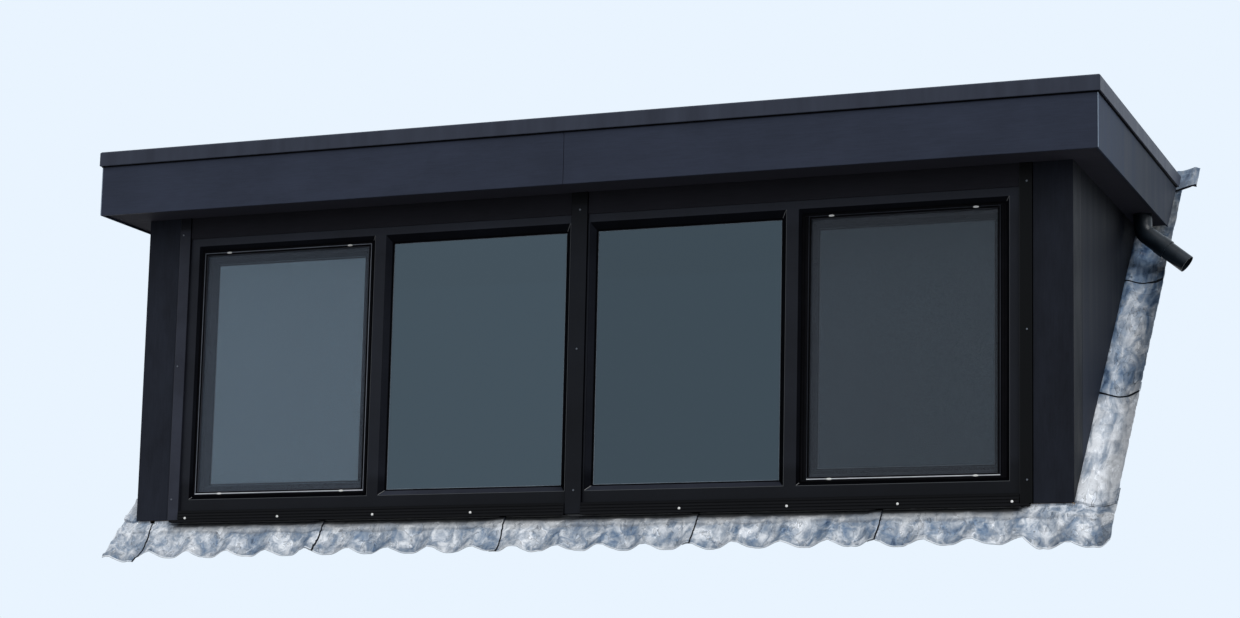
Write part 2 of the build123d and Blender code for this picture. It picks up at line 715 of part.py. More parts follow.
# Corner pieces lie over the ends of the apron, and the side sheets over them, each over the last
lip_top = lead_drop * cos(radians(roof_pitch)) - lead_fit
side_run = (foot_line_y(fascia_top) - core_y) / cos(radians(roof_pitch)) + side_end
side_laps = [side_start] + [share * side_run for share in side_seams] + [side_run]
for side, name in ((-1, "left"), (1, "right")):
    x0 = max(side * apron_laps[0], side * apron_laps[-1]) - lap_cover / 2
    edge = flashing_edges[side]
    low, high = sorted((side * (x0 + lap_cover + lap_fit), side * core_x))
    with BuildPart() as lead_corner:
        add(front_sheet(x0, edge, lap_rise, corner_length, side))
        add(block(low, high, core_y - lead, core_y, upstand_z, foot_z - lead_fit))
        add(block(low, high, core_y - lead - lap_rise, core_y, upstand_z, sill_low - lead_fit))
        loft([dressed_section(-corner_dressed, lap_rise / 2, core_x, edge, side_depth, side),
              flat_section(apron_start, lap_rise, core_x, edge, side)], ruled=True)
        loft([dressed_section(-corner_climb, 0, core_x, edge, side_depth, side),
              dressed_section(-corner_dressed, lap_rise / 2, core_x, edge, side_depth, side)],
             ruled=True)
    save(lead_corner.part, f"lead_corner_{name}")

    with BuildPart() as lead_side:
        for low, high in zip(side_laps, side_laps[1:]):
            loft([dressed_section(-low, 2 * lap_rise, core_x, edge, side_depth, side, lip_top),
                  dressed_section(-high - side_lap_cover, lap_rise, core_x, edge, side_depth,
                                  side, lip_top)], ruled=True)
        loft([flat_section(-side_run, 2 * lap_rise, core_x, edge + top_overhang, side),
              flat_section(-side_run - top_length, lap_rise, core_x, edge + top_overhang, side)],
             ruled=True)
    save(lead_side.part, f"lead_side_{name}")

# Rain pipe: an elbow with a socket under the right-hand eaves, and an open length in it
pipe_top = Vector(pipe_x, front_y + pipe_y, deck_z)
leg_dir = Vector(sin(radians(pipe_angle)), 0, -cos(radians(pipe_angle)))
knee = pipe_top - Vector(0, 0, panel + pipe_stub)
socket_start = knee + leg_dir * pipe_leg
bore_radius = pipe_radius - pipe_wall
with BuildPart() as rain_pipe_elbow:
    with BuildLine() as path:
        FilletPolyline(pipe_top, knee, socket_start, radius=pipe_bend)
    for radius, mode in ((elbow_radius, Mode.ADD), (bore_radius, Mode.SUBTRACT)):
        with BuildSketch(Plane(origin=pipe_top, z_dir=(0, 0, -1))) as section:
            Circle(radius)
        sweep(section.sketch, path=path.line, mode=mode)
    with BuildSketch(Plane(origin=socket_start - leg_dir * lead, z_dir=leg_dir)):
        Circle(pipe_radius + pipe_fit + collar_wall)
        Circle(bore_radius, mode=Mode.SUBTRACT)
    extrude(amount=lead)
    with BuildSketch(Plane(origin=socket_start, z_dir=leg_dir)):
        Circle(pipe_radius + pipe_fit + collar_wall)
        Circle(pipe_radius + pipe_fit, mode=Mode.SUBTRACT)
    extrude(amount=collar_length)
save(rain_pipe_elbow.part, "rain_pipe_elbow")

with BuildPart() as rain_pipe:
    with BuildSketch(Plane(origin=socket_start + leg_dir * pipe_fit, z_dir=leg_dir)):
        Circle(pipe_radius - spigot_step)
        Circle(bore_radius, mode=Mode.SUBTRACT)
    extrude(amount=spigot_length)
    with BuildSketch(Plane(origin=socket_start + leg_dir * (pipe_fit + spigot_length),
                           z_dir=leg_dir)):
        Circle(pipe_radius)
        Circle(bore_radius, mode=Mode.SUBTRACT)
    extrude(amount=pipe_end - spigot_length)
save(rain_pipe.part, "rain_pipe")
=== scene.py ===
import json
import math
import bpy
import bmesh
from mathutils import Matrix, Vector, noise


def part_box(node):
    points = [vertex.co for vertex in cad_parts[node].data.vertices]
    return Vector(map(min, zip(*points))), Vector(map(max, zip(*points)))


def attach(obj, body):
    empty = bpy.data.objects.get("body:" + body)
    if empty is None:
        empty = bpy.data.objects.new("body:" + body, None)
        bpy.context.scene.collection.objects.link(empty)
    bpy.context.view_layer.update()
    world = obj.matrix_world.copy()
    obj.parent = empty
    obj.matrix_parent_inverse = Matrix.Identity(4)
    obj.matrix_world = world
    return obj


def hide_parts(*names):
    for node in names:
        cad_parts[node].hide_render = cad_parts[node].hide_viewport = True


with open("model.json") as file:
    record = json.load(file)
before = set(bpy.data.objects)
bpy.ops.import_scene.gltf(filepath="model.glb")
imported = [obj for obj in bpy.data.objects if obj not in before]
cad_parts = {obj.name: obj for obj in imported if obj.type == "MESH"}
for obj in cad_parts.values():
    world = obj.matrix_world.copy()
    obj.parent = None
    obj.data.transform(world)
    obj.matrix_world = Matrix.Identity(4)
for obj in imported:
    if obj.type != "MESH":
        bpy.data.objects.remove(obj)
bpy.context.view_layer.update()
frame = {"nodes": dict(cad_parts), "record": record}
cad = frame["nodes"]

# Faces and levels of the dormer, read from its CAD nodes
front_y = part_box("corner_cladding_right")[0].y
foot_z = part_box("corner_cladding_right")[0].z
half_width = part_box("corner_cladding_right")[1].x
soffit_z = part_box("corner_cladding_right")[1].z
core_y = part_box("window_frame_right")[0].y
core_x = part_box("cheek_right")[1].x
strip_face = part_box("cover_strips")[0].y
sill_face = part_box("sill_profiles")[0].y
fascia_low, fascia_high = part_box("fascia_front_right")
screen_low, screen_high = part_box("screen_frame_right")
mullion_x = (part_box("fixed_glass_right")[1].x + screen_low.x) / 2
pitch = math.radians(45.5)
slope = math.tan(pitch)

# The lead lies square to the roof: a start line under the sill, down the slope, and away from it
lead_drop = 0.020
lead_start = Vector((0, core_y, foot_z + (core_y - front_y) * slope - lead_drop))
down = Vector((0, -math.cos(pitch), -math.sin(pitch)))
away = Vector((0, -math.sin(pitch), math.cos(pitch)))
side_names = {-1: "left", 1: "right"}
tile_pitch = 0.1979
crest_offset = -0.0225
wave_depth, side_wave_depth = 0.0305, 0.018
flashing_edges = {-1: -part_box("lead_corner_left")[0].x, 1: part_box("lead_corner_right")[1].x}
apron_length = 0.202
corner_length = 0.234
lead_sheet = 0.0026
lap_lip = 0.0045
sheet_gap = 0.0004


def tone(red, green, blue):
    """A linear colour from its display values, 0 to 255."""
    parts = [value / 255 for value in (red, green, blue)]
    linear = [v / 12.92 if v <= 0.04045 else ((v + 0.055) / 1.055) ** 2.4 for v in parts]
    return (*linear, 1)


# Finishes

upright_grain, long_grain = (260, 260, 14), (14, 260, 260)
board_relief = 0.00018


def wired(tree, node, **inputs):
    """Links a node's inputs to sockets, or sets their values. Underscores stand for spaces."""
    for name, value in inputs.items():
        socket = node.inputs[name.replace("_", " ")]
        if isinstance(value, bpy.types.NodeSocket):
            tree.links.new(value, socket)
        else:
            socket.default_value = value
    return node


def new_node(tree, kind, **inputs):
    """A new node of a kind, wired at once."""
    return wired(tree, tree.nodes.new(kind), **inputs)


def new_finish(name, **constants):
    """A material, its tree and its shader with some of its own values set."""
    material = bpy.data.materials.new(name)
    material.use_nodes = True
    tree = material.node_tree
    return material, tree, wired(tree, tree.nodes["Principled BSDF"], **constants)


def stretched(tree, stretch=(1, 1, 1)):
    """The piece's own coordinates, squeezed along each axis."""
    own = new_node(tree, "ShaderNodeTexCoord").outputs["Object"]
    return new_node(tree, "ShaderNodeMapping", Vector=own, Scale=stretch).outputs["Vector"]


def cloudy(tree, vector, scale, detail=4, rough=0.55, distortion=0):
    """Soft random blotches, as a value from 0 to 1.

    The vector may be a stretch of the piece's own coordinates, or None for these as they are."""
    if vector is None or isinstance(vector, (tuple, list)):
        vector = stretched(tree, vector or (1, 1, 1))
    texture = new_node(tree, "ShaderNodeTexNoise", Vector=vector, Scale=scale, Detail=detail,
                       Roughness=rough, Distortion=distortion)
    return texture.outputs[0]


def blended(tree, first, second, share):
    """Two values mixed by a fixed share of the second."""
    return new_node(tree, "ShaderNodeMix", Factor=share, A=first, B=second).outputs["Result"]


def toned(tree, value, stops):
    """A colour ramp over a value, from (place, colour) stops."""
    ramp = new_node(tree, "ShaderNodeValToRGB", Fac=value)
    points = ramp.color_ramp.elements
    while len(points) < len(stops):
        points.new(0.5)
    for point, (place, colour) in zip(points, stops):
        point.position = place
        point.color = colour
    return ramp.outputs["Color"]


def greys(*stops):
    """Ramp stops from pairs of a place and a level of grey."""
    return [(place, (level, level, level, 1)) for place, level in stops]


def ranged(tree, value, low, high, from_low=0.3, from_high=0.7):
    """A value brought into another range."""
    remap = new_node(tree, "ShaderNodeMapRange", Value=value, From_Min=from_low,
                     From_Max=from_high, To_Min=low, To_Max=high)
    return remap.outputs["Result"]


def combined(tree, operation, first, *others):
    """Values joined one by one by a Math operation. The later ones may be plain numbers."""
    for other in others:
        maths = tree.nodes.new("ShaderNodeMath")
        maths.operation = operation
        tree.links.new(first, maths.inputs[0])
        if isinstance(other, (int, float)):
            maths.inputs[1].default_value = other
        else:
            tree.links.new(other, maths.inputs[1])
        first = maths.outputs["Value"]
    return first


def product(tree, first, *others):
    """Values multiplied by each other."""
    return combined(tree, "MULTIPLY", first, *others)


def highest(tree, first, *others):
    """The highest of the values."""
    return combined(tree, "MAXIMUM", first, *others)


def embossed(tree, shader, height, depth, strength=1.0):
    """Relief on the shader from a height value; depth in metres."""
    bump = new_node(tree, "ShaderNodeBump", Height=height, Distance=depth, Strength=strength)
    wired(tree, shader, Normal=bump.outputs["Normal"])


def finished(material, colour, rough, height, depth, strength=1.0):
    """Joins colour, roughness and relief to the material's shader."""
    tree = material.node_tree
    shader = wired(tree, tree.nodes["Principled BSDF"], Base_Color=colour, Roughness=rough)
    embossed(tree, shader, height, depth, strength)
    return material


def axis_value(tree, axis, source="Object"):
    """One axis of the piece's own coordinates, or of another source's."""
    vector = new_node(tree, "ShaderNodeTexCoord").outputs[source]
    return new_node(tree, "ShaderNodeSeparateXYZ", Vector=vector).outputs[axis]


def scaled(tree, colour, factor):
    """A colour made lighter or darker by a value."""
    scale = tree.nodes.new("ShaderNodeVectorMath")
    scale.operation = "SCALE"
    return wired(tree, scale, Vector=colour, Scale=factor).outputs["Vector"]


def facing(tree, axis):
    """How far a face looks along one of the piece's own axes, from -1 to 1."""
    return axis_value(tree, axis, "Normal")


def size_of(tree, value):
    """A value without its sign."""
    return combined(tree, "ABSOLUTE", value, 0)


def overlaid(tree, below, above, share):
    """A plain colour laid over another by a share."""
    mix = tree.nodes.new("ShaderNodeMix")
    mix.data_type = "RGBA"
    tree.links.new(share, mix.inputs["Factor"])
    tree.links.new(below, mix.inputs[6])
    mix.inputs[7].default_value = above
    return mix.outputs[2]


def laminate(name, dark, light, gloss, sheen=0.1, upright=False):
    """A coloured board: long fine grain, faint dust and slow drifts of tone."""
    grain, streaks = long_grain, (0.4, 1, 1)
    if upright:
        grain, streaks = upright_grain, (1, 1, 0.35)
    material, tree, _ = new_finish(name, Specular_IOR_Level=sheen)
    fine = cloudy(tree, grain, 1.0, 3, 0.6)
    drift = cloudy(tree, None, 1.7, 5, 0.6)
    dust = cloudy(tree, streaks, 9, 8, 0.7)
    mixed = blended(tree, blended(tree, drift, dust, 0.45), fine, 0.3)
    rough = ranged(tree, blended(tree, dust, fine, 0.4), gloss - 0.05, gloss + 0.09)
    return finished(material, toned(tree, mixed, [(0.36, dark), (0.64, light)]), rough, fine,
                    board_relief)


def painted_light_board(name, dark, light, gloss, sheen, marks, painted_light):
    """A board with fine upright grain and marks. Its last argument gives a factor for its tone,
    which is painted light and shade.
    """
    material, tree, _ = new_finish(name, Specular_IOR_Level=sheen)
    fine = cloudy(tree, upright_grain, 1.0, 3, 0.6)
    streaks = cloudy(tree, *marks)
    colour = toned(tree, blended(tree, streaks, fine, 0.3), [(0.36, dark), (0.64, light)])
    return finished(material, scaled(tree, colour, painted_light(tree)),
                    ranged(tree, streaks, gloss - 0.05, gloss + 0.09), fine, board_relief)


def corner_panel(name, dark, light, gloss, left, right):
    """A dusty cladding panel with painted light: lighter to the left, and painted shade on its
    return.
    """
    def painted_light(tree):
        # Painted light, lighter to the left, and painted shade on the faces that look to the side
        return product(tree, ranged(tree, axis_value(tree, "X"), 1.55, 1.2, left, right),
                       ranged(tree, size_of(tree, facing(tree, "X")), 1, 0.36, 0.6, 0.95))

    return painted_light_board(name, dark, light, gloss, 0.06, ((1, 1, 0.35), 9, 8, 0.7), painted_light)


def painted_light_side(name, dark, light, gloss, front, rear, low=1.0, high=1.0):
    """A side board with rain streaks, and painted light: paler to the front, darker to the rear,
    and scaled from low at the foot to high at the soffit.
    """
    def painted_light(tree):
        # Painted light: paler to the front and darker to the rear, scaled from low at the foot to
        # high at the soffit
        return product(tree, ranged(tree, axis_value(tree, "Y"), 1, 0.4, front, rear),
                       ranged(tree, axis_value(tree, "Z"), low, high, foot_z, soffit_z))

    return painted_light_board(name, dark, light, gloss, 0.05, ((1, 1, 0.06), 11, 5, 0.6), painted_light)


def foiled(name, dark, light, gloss, left=1.0, right=1.0, rise=None, bead=0.0, catch=0.3):
    """A foiled window profile: fine emboss, painted shade on its bevels and side faces, and a
    painted highlight, through sheen, on arrises that look up or to the left.

    Its tone drifts from left to right and up a height ramp, which is painted light. Bead paints
    light on the middle bevels, catch sets the painted highlight on the arrises."""
    material, tree, shader = new_finish(name)
    emboss = cloudy(tree, (420, 420, 160), 1.0, 2, 0.5)
    drift = cloudy(tree, None, 3.1, 5, 0.6)
    colour = toned(tree, blended(tree, drift, emboss, 0.25), [(0.35, dark), (0.68, light)])
    across, to_side, upward = axis_value(tree, "X"), facing(tree, "X"), facing(tree, "Z")
    # Painted shade: faces that don't look to the front are darkened
    front = ranged(tree, size_of(tree, facing(tree, "Y")), 0.3, 1, 0.84, 0.96)
    # Painted light, by bead, on faces that look up, and a little on some that look right, between
    # the mullions
    beside = ranged(tree, size_of(tree, across), bead, 0, mullion_x - 0.01, mullion_x)
    sills = highest(tree, ranged(tree, upward, 0, 1, 0.6, 0.68),
                    product(tree, ranged(tree, to_side, 0, 0.2, 0.6, 0.7),
                            ranged(tree, to_side, 1, 0, 0.78, 0.9)))
    lit = highest(tree, front, product(tree, sills, beside))
    # Painted light from left to right, and up the height ramp
    shade = product(tree, lit, ranged(tree, across, left, right, -2.0, 2.0))
    if rise:
        height = ranged(tree, axis_value(tree, "Z"), 0, 1, foot_z, soffit_z)
        shade = product(tree, shade, toned(tree, height, rise))
    # Painted highlight: sheen on arrises that look up or to the left; elsewhere sheen only on faces
    # that look to the front
    edge = highest(tree, upward, product(tree, to_side, -1))
    arris = product(tree, ranged(tree, edge, 0, catch, 0.12, 0.22),
                    ranged(tree, edge, 1, 0, 0.50, 0.58))
    front_sheen = ranged(tree, front, 0, 0.1, 0.32, 1)
    wired(tree, shader, Specular_IOR_Level=highest(tree, front_sheen, arris))
    return finished(material, scaled(tree, colour, shade),
                    ranged(tree, drift, gloss - 0.05, gloss + 0.08), emboss, 0.00012)


def coated_metal(name, dark, light, gloss, sheen=0.15):
    """Powder-coated aluminium: a fine orange peel and rain marks."""
    material, tree, _ = new_finish(name, Specular_IOR_Level=sheen)
    peel = cloudy(tree, None, 700, 2, 0.5)
    marks = cloudy(tree, (5, 5, 0.8), 2.2, 7, 0.65)
    return finished(material, toned(tree, marks, [(0.34, dark), (0.66, light)]),
                    ranged(tree, marks, gloss - 0.06, gloss + 0.1), peel, 0.0001)


def sawn_timber(name, dark, light, along, ring_scale=26):
    """Softwood with growth rings and fibres along one axis, 0, 1 or 2."""
    material, tree, _ = new_finish(name)
    stretch = [1.0, 1.0, 1.0]
    stretch[along] = 0.06
    grain = new_node(tree, "ShaderNodeTexWave", Vector=stretched(tree, stretch),
                     Scale=ring_scale, Distortion=5, Detail=3)
    grain.wave_type = "RINGS"
    grain.rings_direction = "XYZ"[along]
    fibres = cloudy(tree, [170 * s for s in stretch], 1.0, 4, 0.6)
    mixed = blended(tree, grain.outputs["Fac"], fibres, 0.55)
    return finished(material, toned(tree, mixed, [(0.25, dark), (0.75, light)]),
                    ranged(tree, fibres, 0.62, 0.82), fibres, 0.0004)


def primed_board(name):
    """White primed lining with a faint roller texture."""
    material, tree, _ = new_finish(name)
    roller = cloudy(tree, None, 240, 3, 0.6)
    drift = cloudy(tree, None, 2.4, 4)
    colour = toned(tree, drift, [(0.3, tone(196, 194, 188)), (0.7, tone(214, 213, 208))])
    return finished(material, colour, ranged(tree, roller, 0.55, 0.7), roller, 0.0002)


def layered_slab(name, levels):
    """Boarding, insulation and joists as they show at a cut: bands of colour up the slab."""
    material, tree, shader = new_finish(name, Roughness=0.8)
    height = axis_value(tree, "Z")
    fibres = cloudy(tree, (3, 40, 160), 1.0, 5, 0.65)
    wobble = product(tree, fibres, 0.004)
    low, high = levels[0][0], levels[-1][0]
    share = ranged(tree, combined(tree, "ADD", height, wobble), 0, 1, low, high)
    bands = toned(tree, share, [((z - low) / (high - low), colour) for z, colour in levels])
    bands.node.color_ramp.interpolation = "CONSTANT"
    shade = toned(tree, fibres, greys((0.25, 0.7), (0.75, 1)))
    wired(tree, shader, Base_Color=scaled(tree, bands, shade))
    embossed(tree, shader, fibres, 0.0008)
    return material


def sheet_rubber(name):
    """Roofing rubber: matt black, with dust that settled in shallow puddles."""
    material, tree, _ = new_finish(name, Specular_IOR_Level=0.2)
    puddles = cloudy(tree, None, 1.4, 6, 0.6, 0.6)
    pores = cloudy(tree, None, 380, 2)
    colour = toned(tree, puddles, [(0.42, tone(34, 35, 37)), (0.56, tone(52, 52, 52)),
                                   (0.66, tone(74, 72, 68))])
    return finished(material, colour, ranged(tree, puddles, 0.5, 0.85), pores, 0.0002)


def dressed_lead(name, size=1.0, flow=0.7):
    """Sheet lead, beaten into place: white oxide over blue-grey metal, with strokes and dents,
    and painted shade and highlights.

    Its marks have a size, and flow sets how far they are drawn out down the slope."""
    material, tree, _ = new_finish(name, Specular_IOR_Level=0.5)
    specks = cloudy(tree, None, 105, 3, 0.6)
    wander = cloudy(tree, None, 6.0, 3)
    # The way down the slope, and coordinates that lie in the sheet
    drop = tree.nodes.new("ShaderNodeVectorMath")
    drop.operation = "DOT_PRODUCT"
    drop.inputs[1].default_value = down
    wired(tree, drop, Vector=stretched(tree))
    run = combined(tree, "SUBTRACT", drop.outputs["Value"], lead_start.dot(down))
    sheet = new_node(tree, "ShaderNodeCombineXYZ", X=axis_value(tree, "X"),
                     Y=product(tree, run, flow)).outputs["Vector"]
    patches = cloudy(tree, sheet, 8.0 * size, 5, 0.6, 0.5)
    strokes = cloudy(tree, sheet, 24 * size, 6, 0.62, 0.9)
    wavy = combined(tree, "ADD", run, product(tree, wander, 0.046))
    beside = size_of(tree, axis_value(tree, "X"))
    ragged = combined(tree, "ADD", beside, product(tree, wander, 0.06))
    # White patches and strokes; beside the cheek they are lighter and calmer on the lower side
    # sheets, and a painted shade darkens them higher up the slope; a little darker on the front
    side_share = ranged(tree, run, 0, 1, -2.0, 0.0)
    painted_shade_up_slope = toned(tree, side_share, greys((0.0, 0.06), (0.30, 0.095), (0.55, 0.06), (0.68, 0),
                                            (0.95, 0), (1.0, 0.026)))
    calm = toned(tree, side_share, greys((0.0, 0.1), (0.62, 0.25), (0.68, 0.82), (0.85, 0.82),
                                         (0.97, 0.60), (1.0, 0)))
    mixed = combined(tree, "SUBTRACT", blended(tree, patches, strokes, 0.5), painted_shade_up_slope)
    mixed = combined(tree, "ADD", mixed, product(tree, calm, 0.055), 0.045)
    colour = toned(tree, mixed, [(0.36, tone(58, 80, 110)), (0.43, tone(108, 130, 156)),
                                 (0.50, tone(152, 164, 179)), (0.61, tone(232, 236, 241))])
    # The plain grey band along the front's top, painted shade in the first bend's crease and darker
    # towards the hem, and a painted shadow under the sill
    flat = product(tree, ranged(tree, wavy, 1, 0, 0.084, 0.104),
                   ranged(tree, beside, 0.5, 0, core_x - 0.24, core_x - 0.14))
    colour = overlaid(tree, colour, tone(170, 169, 167), flat)
    crease = toned(tree, ranged(tree, wavy, 0, 1, 0.006, 0.256),
                   greys((0.0, 1), (0.32, 1), (0.355, 0.66), (0.40, 0.92), (0.48, 1), (0.66, 1),
                         (0.86, 0.78)))
    painted_sill_shadow = toned(tree, ranged(tree, run, 0, 1, 0.0, 0.06),
                  greys((0.0, 0.03), (0.46, 0.06), (0.66, 0.5), (0.95, 1)))
    # Clear keeps the painted shadow to the stretch under the sill
    clear = ranged(tree, beside, 0, 1, core_x - 0.22, core_x - 0.17)
    crease = highest(tree, crease, ranged(tree, patches, 0, 1, 0.46, 0.60))
    # Painted shade and highlight along the folds, dark specks, and painted shade towards the side
    # sheets' outer edges
    folds = cloudy(tree, sheet, 15 * size, 4, 0.5, 1.6)
    painted_fold_shading = toned(tree, ranged(tree, folds, 0, 1, 0.44, 0.56),
                  greys((0.0, 0.72), (0.30, 0.66), (0.44, 0.34), (0.56, 1), (0.78, 0.78)))
    painted_fold_shading = product(tree, highest(tree, painted_fold_shading, calm), 1.14)
    specks_and_painted_shade = product(tree, crease, ranged(tree, specks, 1, 0.72, 0.60, 0.68), painted_fold_shading,
                   highest(tree, painted_sill_shadow, clear), ranged(tree, ragged, 1, 0.62, 2.272, 2.300))
    dents = cloudy(tree, None, 30, 4, 0.5, 0.5)
    return finished(material, scaled(tree, colour, specks_and_painted_shade), ranged(tree, strokes, 0.3, 0.55),
                    blended(tree, dents, strokes, 0.45), 0.006, 0.8)


def window_pane(name, mirror):
    """Double glazing: dark, with faint dust that breaks the reflection."""
    material, tree, shader = new_finish(name, Transmission_Weight=1.0, IOR=mirror,
                                        Base_Color=(0.001, 0.002, 0.003, 1),
                                        Specular_Tint=(0.66, 0.87, 1.0, 1))
    film = cloudy(tree, (1, 1, 0.5), 3.4, 7, 0.66, 0.5)
    wired(tree, shader, Roughness=ranged(tree, film, 0.0, 0.05, 0.45, 0.75))
    waves = cloudy(tree, None, 2.1, 1)
    embossed(tree, shader, waves, 0.0006, 0.3)
    return material


def insect_mesh(name, density, thread=0.0014):
    """Woven mesh: a fine grid of threads over clear gaps, with blotches, and painted light that
    makes it paler to the left.
    """
    material, tree, shader = new_finish(name, Roughness=0.5, Metallic=0.1)
    uneven = product(tree, cloudy(tree, None, 150, 1), 0.007)
    across = combined(tree, "ADD", uneven, axis_value(tree, "X"))
    up = combined(tree, "SUBTRACT", axis_value(tree, "Z"), uneven)
    drift = combined(tree, "ADD", across, cloudy(tree, None, 1.3, 5))
    # Blotches, and painted light: paler and bluer to the left, darker to the right
    dust = toned(tree, ranged(tree, drift, 0, 1, -1.6, 2.2),
                 [(0.0, tone(81, 91, 104)), (1.0, tone(62, 68, 76))])
    lines = []
    for value in (across, up):
        turns = product(tree, value, 1 / thread)
        lines.append(combined(tree, "PINGPONG", turns, 0.5))
    nearest = combined(tree, "MINIMUM", lines[0], lines[1])
    woven = combined(tree, "LESS_THAN", nearest, 0.5 * (1 - math.sqrt(1 - density)))
    wired(tree, shader, Base_Color=dust, Alpha=woven)
    return material


def moulded_plastic(name, dark, light, gloss, sheen=0.3):
    """Moulded pipe plastic with flow marks and a dusty bloom."""
    material, tree, _ = new_finish(name, Specular_IOR_Level=sheen)
    bloom = cloudy(tree, None, 14, 7, 0.65)
    fine = cloudy(tree, None, 190, 3)
    return finished(material, toned(tree, bloom, [(0.36, dark), (0.64, light)]),
                    ranged(tree, bloom, gloss - 0.06, gloss + 0.12), fine, 0.00015)


def satin_metal(name, colour, gloss):
    """Brushed metal with fine upright lines."""
    material, tree, shader = new_finish(name, Metallic=1.0, Base_Color=colour)
    brushed = cloudy(tree, (900, 900, 60), 1.0, 3)
    wired(tree, shader, Roughness=ranged(tree, brushed, gloss - 0.07, gloss + 0.08))
    embossed(tree, shader, brushed, 0.00008)
    return material


deck_low, deck_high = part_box("roof_deck")
slab_levels = [(deck_low.z, tone(188, 160, 116)), (deck_low.z + 0.018, tone(206, 178, 96)),
               (deck_low.z + 0.195, tone(196, 152, 100)), (deck_low.z + 0.217, tone(178, 146, 104)),
               (deck_high.z, tone(190, 158, 112))]
# Painted light on the window frames, darker low and lighter high, and painted shade at the top of
# the strips and post
frame_light_by_height = greys((0.0, 0.25), (0.11, 0.25), (0.14, 0.50), (0.84, 0.58), (0.90, 1))
shade_at_the_top = greys((0.0, 1), (0.955, 1), (0.965, 0.3))
finishes = {
    "timber": sawn_timber("planed_softwood", tone(150, 112, 70), tone(206, 170, 120), 0),
    "wall_core": sawn_timber("insulated_wall", tone(168, 132, 84), tone(212, 180, 130), 2, 14),
    "roof_core": layered_slab("roof_slab", slab_levels),
    "lining": primed_board("primed_lining"),
    "cladding": corner_panel("anthracite_panel", tone(21, 23, 29), tone(30, 33, 41), 0.5,
                             -half_width, half_width),
    "fascia": laminate("blue_anthracite_board", tone(42, 47, 60), tone(53, 59, 75), 0.5),
    "soffit": laminate("soffit_board", tone(40, 40, 46), tone(50, 50, 58), 0.7, 0.04),
    "roof_trim": coated_metal("anthracite_edge_trim", tone(47, 51, 63), tone(57, 62, 75), 0.45),
    "membrane": sheet_rubber("roofing_rubber"),
    "outlet": moulded_plastic("black_drain", tone(26, 26, 27), tone(40, 40, 41), 0.45),
    # Painted light: the frame, sash and strip finishes are scaled from left to right by their two
    # factors after gloss
    "window_frame": foiled("anthracite_frame", tone(37, 39, 46), tone(48, 51, 60), 0.42, 1.15, 0.86,
                           frame_light_by_height, 4.0, 1.0),
    "sash": foiled("anthracite_sash", tone(17, 18, 22), tone(25, 27, 32), 0.42, 0.7, 4.2),
    "glass": window_pane("double_glazing", 1.95),
    "screen_frame": coated_metal("grey_screen_frame", tone(38, 40, 46), tone(50, 53, 60), 0.4),
    "screen_mesh": insect_mesh("insect_mesh", 0.3),
    "cover_strip": foiled("anthracite_strip", tone(19, 20, 25), tone(29, 31, 38), 0.38, 3.4, 0.05,
                          shade_at_the_top),
    "sill_profile": foiled("ribbed_sill", tone(8, 8, 10), tone(13, 13, 16), 0.42, catch=0.04),
    "handle": satin_metal("satin_lever", (0.55, 0.56, 0.58, 1), 0.32),
    "lead": dressed_lead("beaten_lead"),
    "rain_pipe": moulded_plastic("grey_pipe", tone(12, 19, 25), tone(22, 31, 39), 0.3),
}
# Painted light: the side fascia is paler to the front and darker to the rear; the cheek, a darker
# copy of the cladding, is darker to the rear, lighter at the foot and darker under the eaves
side_board = painted_light_side("side_fascia_board", tone(34, 41, 56), tone(53, 64, 84), 0.5,
                            fascia_low.y, fascia_low.y + 1.0)
cheek_board = painted_light_side("cheek_board", tone(16, 19, 26), tone(25, 29, 39), 0.55,
                             front_y, front_y + 1.4, 2.1, 0.45)
post_foil = foiled("anthracite_post", tone(15, 16, 20), tone(23, 25, 31), 0.38,
                   rise=shade_at_the_top)
head_board = laminate("head_board", tone(32, 32, 37), tone(42, 42, 48), 0.6, 0.05)
side_lead = dressed_lead("beaten_side_lead", 0.9, 0.28)
dull_screw = satin_metal("dull_screw", (0.16, 0.17, 0.19, 1), 0.4)
seam_edge = moulded_plastic("shaded_lead_edge", tone(12, 15, 20), tone(24, 29, 36), 0.6, 0.1)
# Painted highlight along the lead's lower hem
hem_highlight = coated_metal("polished_lead_hem", tone(176, 186, 196), tone(222, 226, 230), 0.35, 0.5)
white_cap = moulded_plastic("white_cap", tone(226, 226, 222), tone(240, 240, 238), 0.35)
seal_rubber = moulded_plastic("seal_rubber", tone(8, 8, 10), tone(14, 14, 17), 0.6, 0.02)
# Painted highlight on the left screen's lip and on both screens' foot; the right lip is a darker
# shaded copy
lip_highlight = coated_metal("bare_aluminium_edge", tone(104, 110, 120), tone(128, 134, 144), 0.35)
lip_shade = coated_metal("dull_aluminium_edge", tone(40, 43, 49), tone(54, 57, 64), 0.4, 0.05)
foot_highlight = coated_metal("bright_aluminium_edge", tone(182, 186, 192), tone(208, 211, 216), 0.35)
# Painted highlight along the fascia's corners
board_core = laminate("board_core", tone(118, 132, 150), tone(146, 160, 176), 0.5, upright=True)
spacer = coated_metal("pane_spacer", tone(98, 108, 118), tone(124, 134, 144), 0.4)
node_slots = {entry["node"]: entry["material_slot"] for entry in frame["record"]["subparts"]}


# Making pieces

def kept(piece, slot_name, *replaced):
    """Hands a finished piece to the frame: its body and the nodes that it stands for. Slot_name is
    not used.
    """
    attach(piece, "root")
    if replaced:
        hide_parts(*replaced)
    return piece


def plain_mesh(piece):
    """Turns an object's modifiers into a plain mesh."""
    graph = bpy.context.evaluated_depsgraph_get()
    mesh = bpy.data.meshes.new_from_object(piece.evaluated_get(graph))
    piece.modifiers.clear()
    piece.data = mesh
    return piece


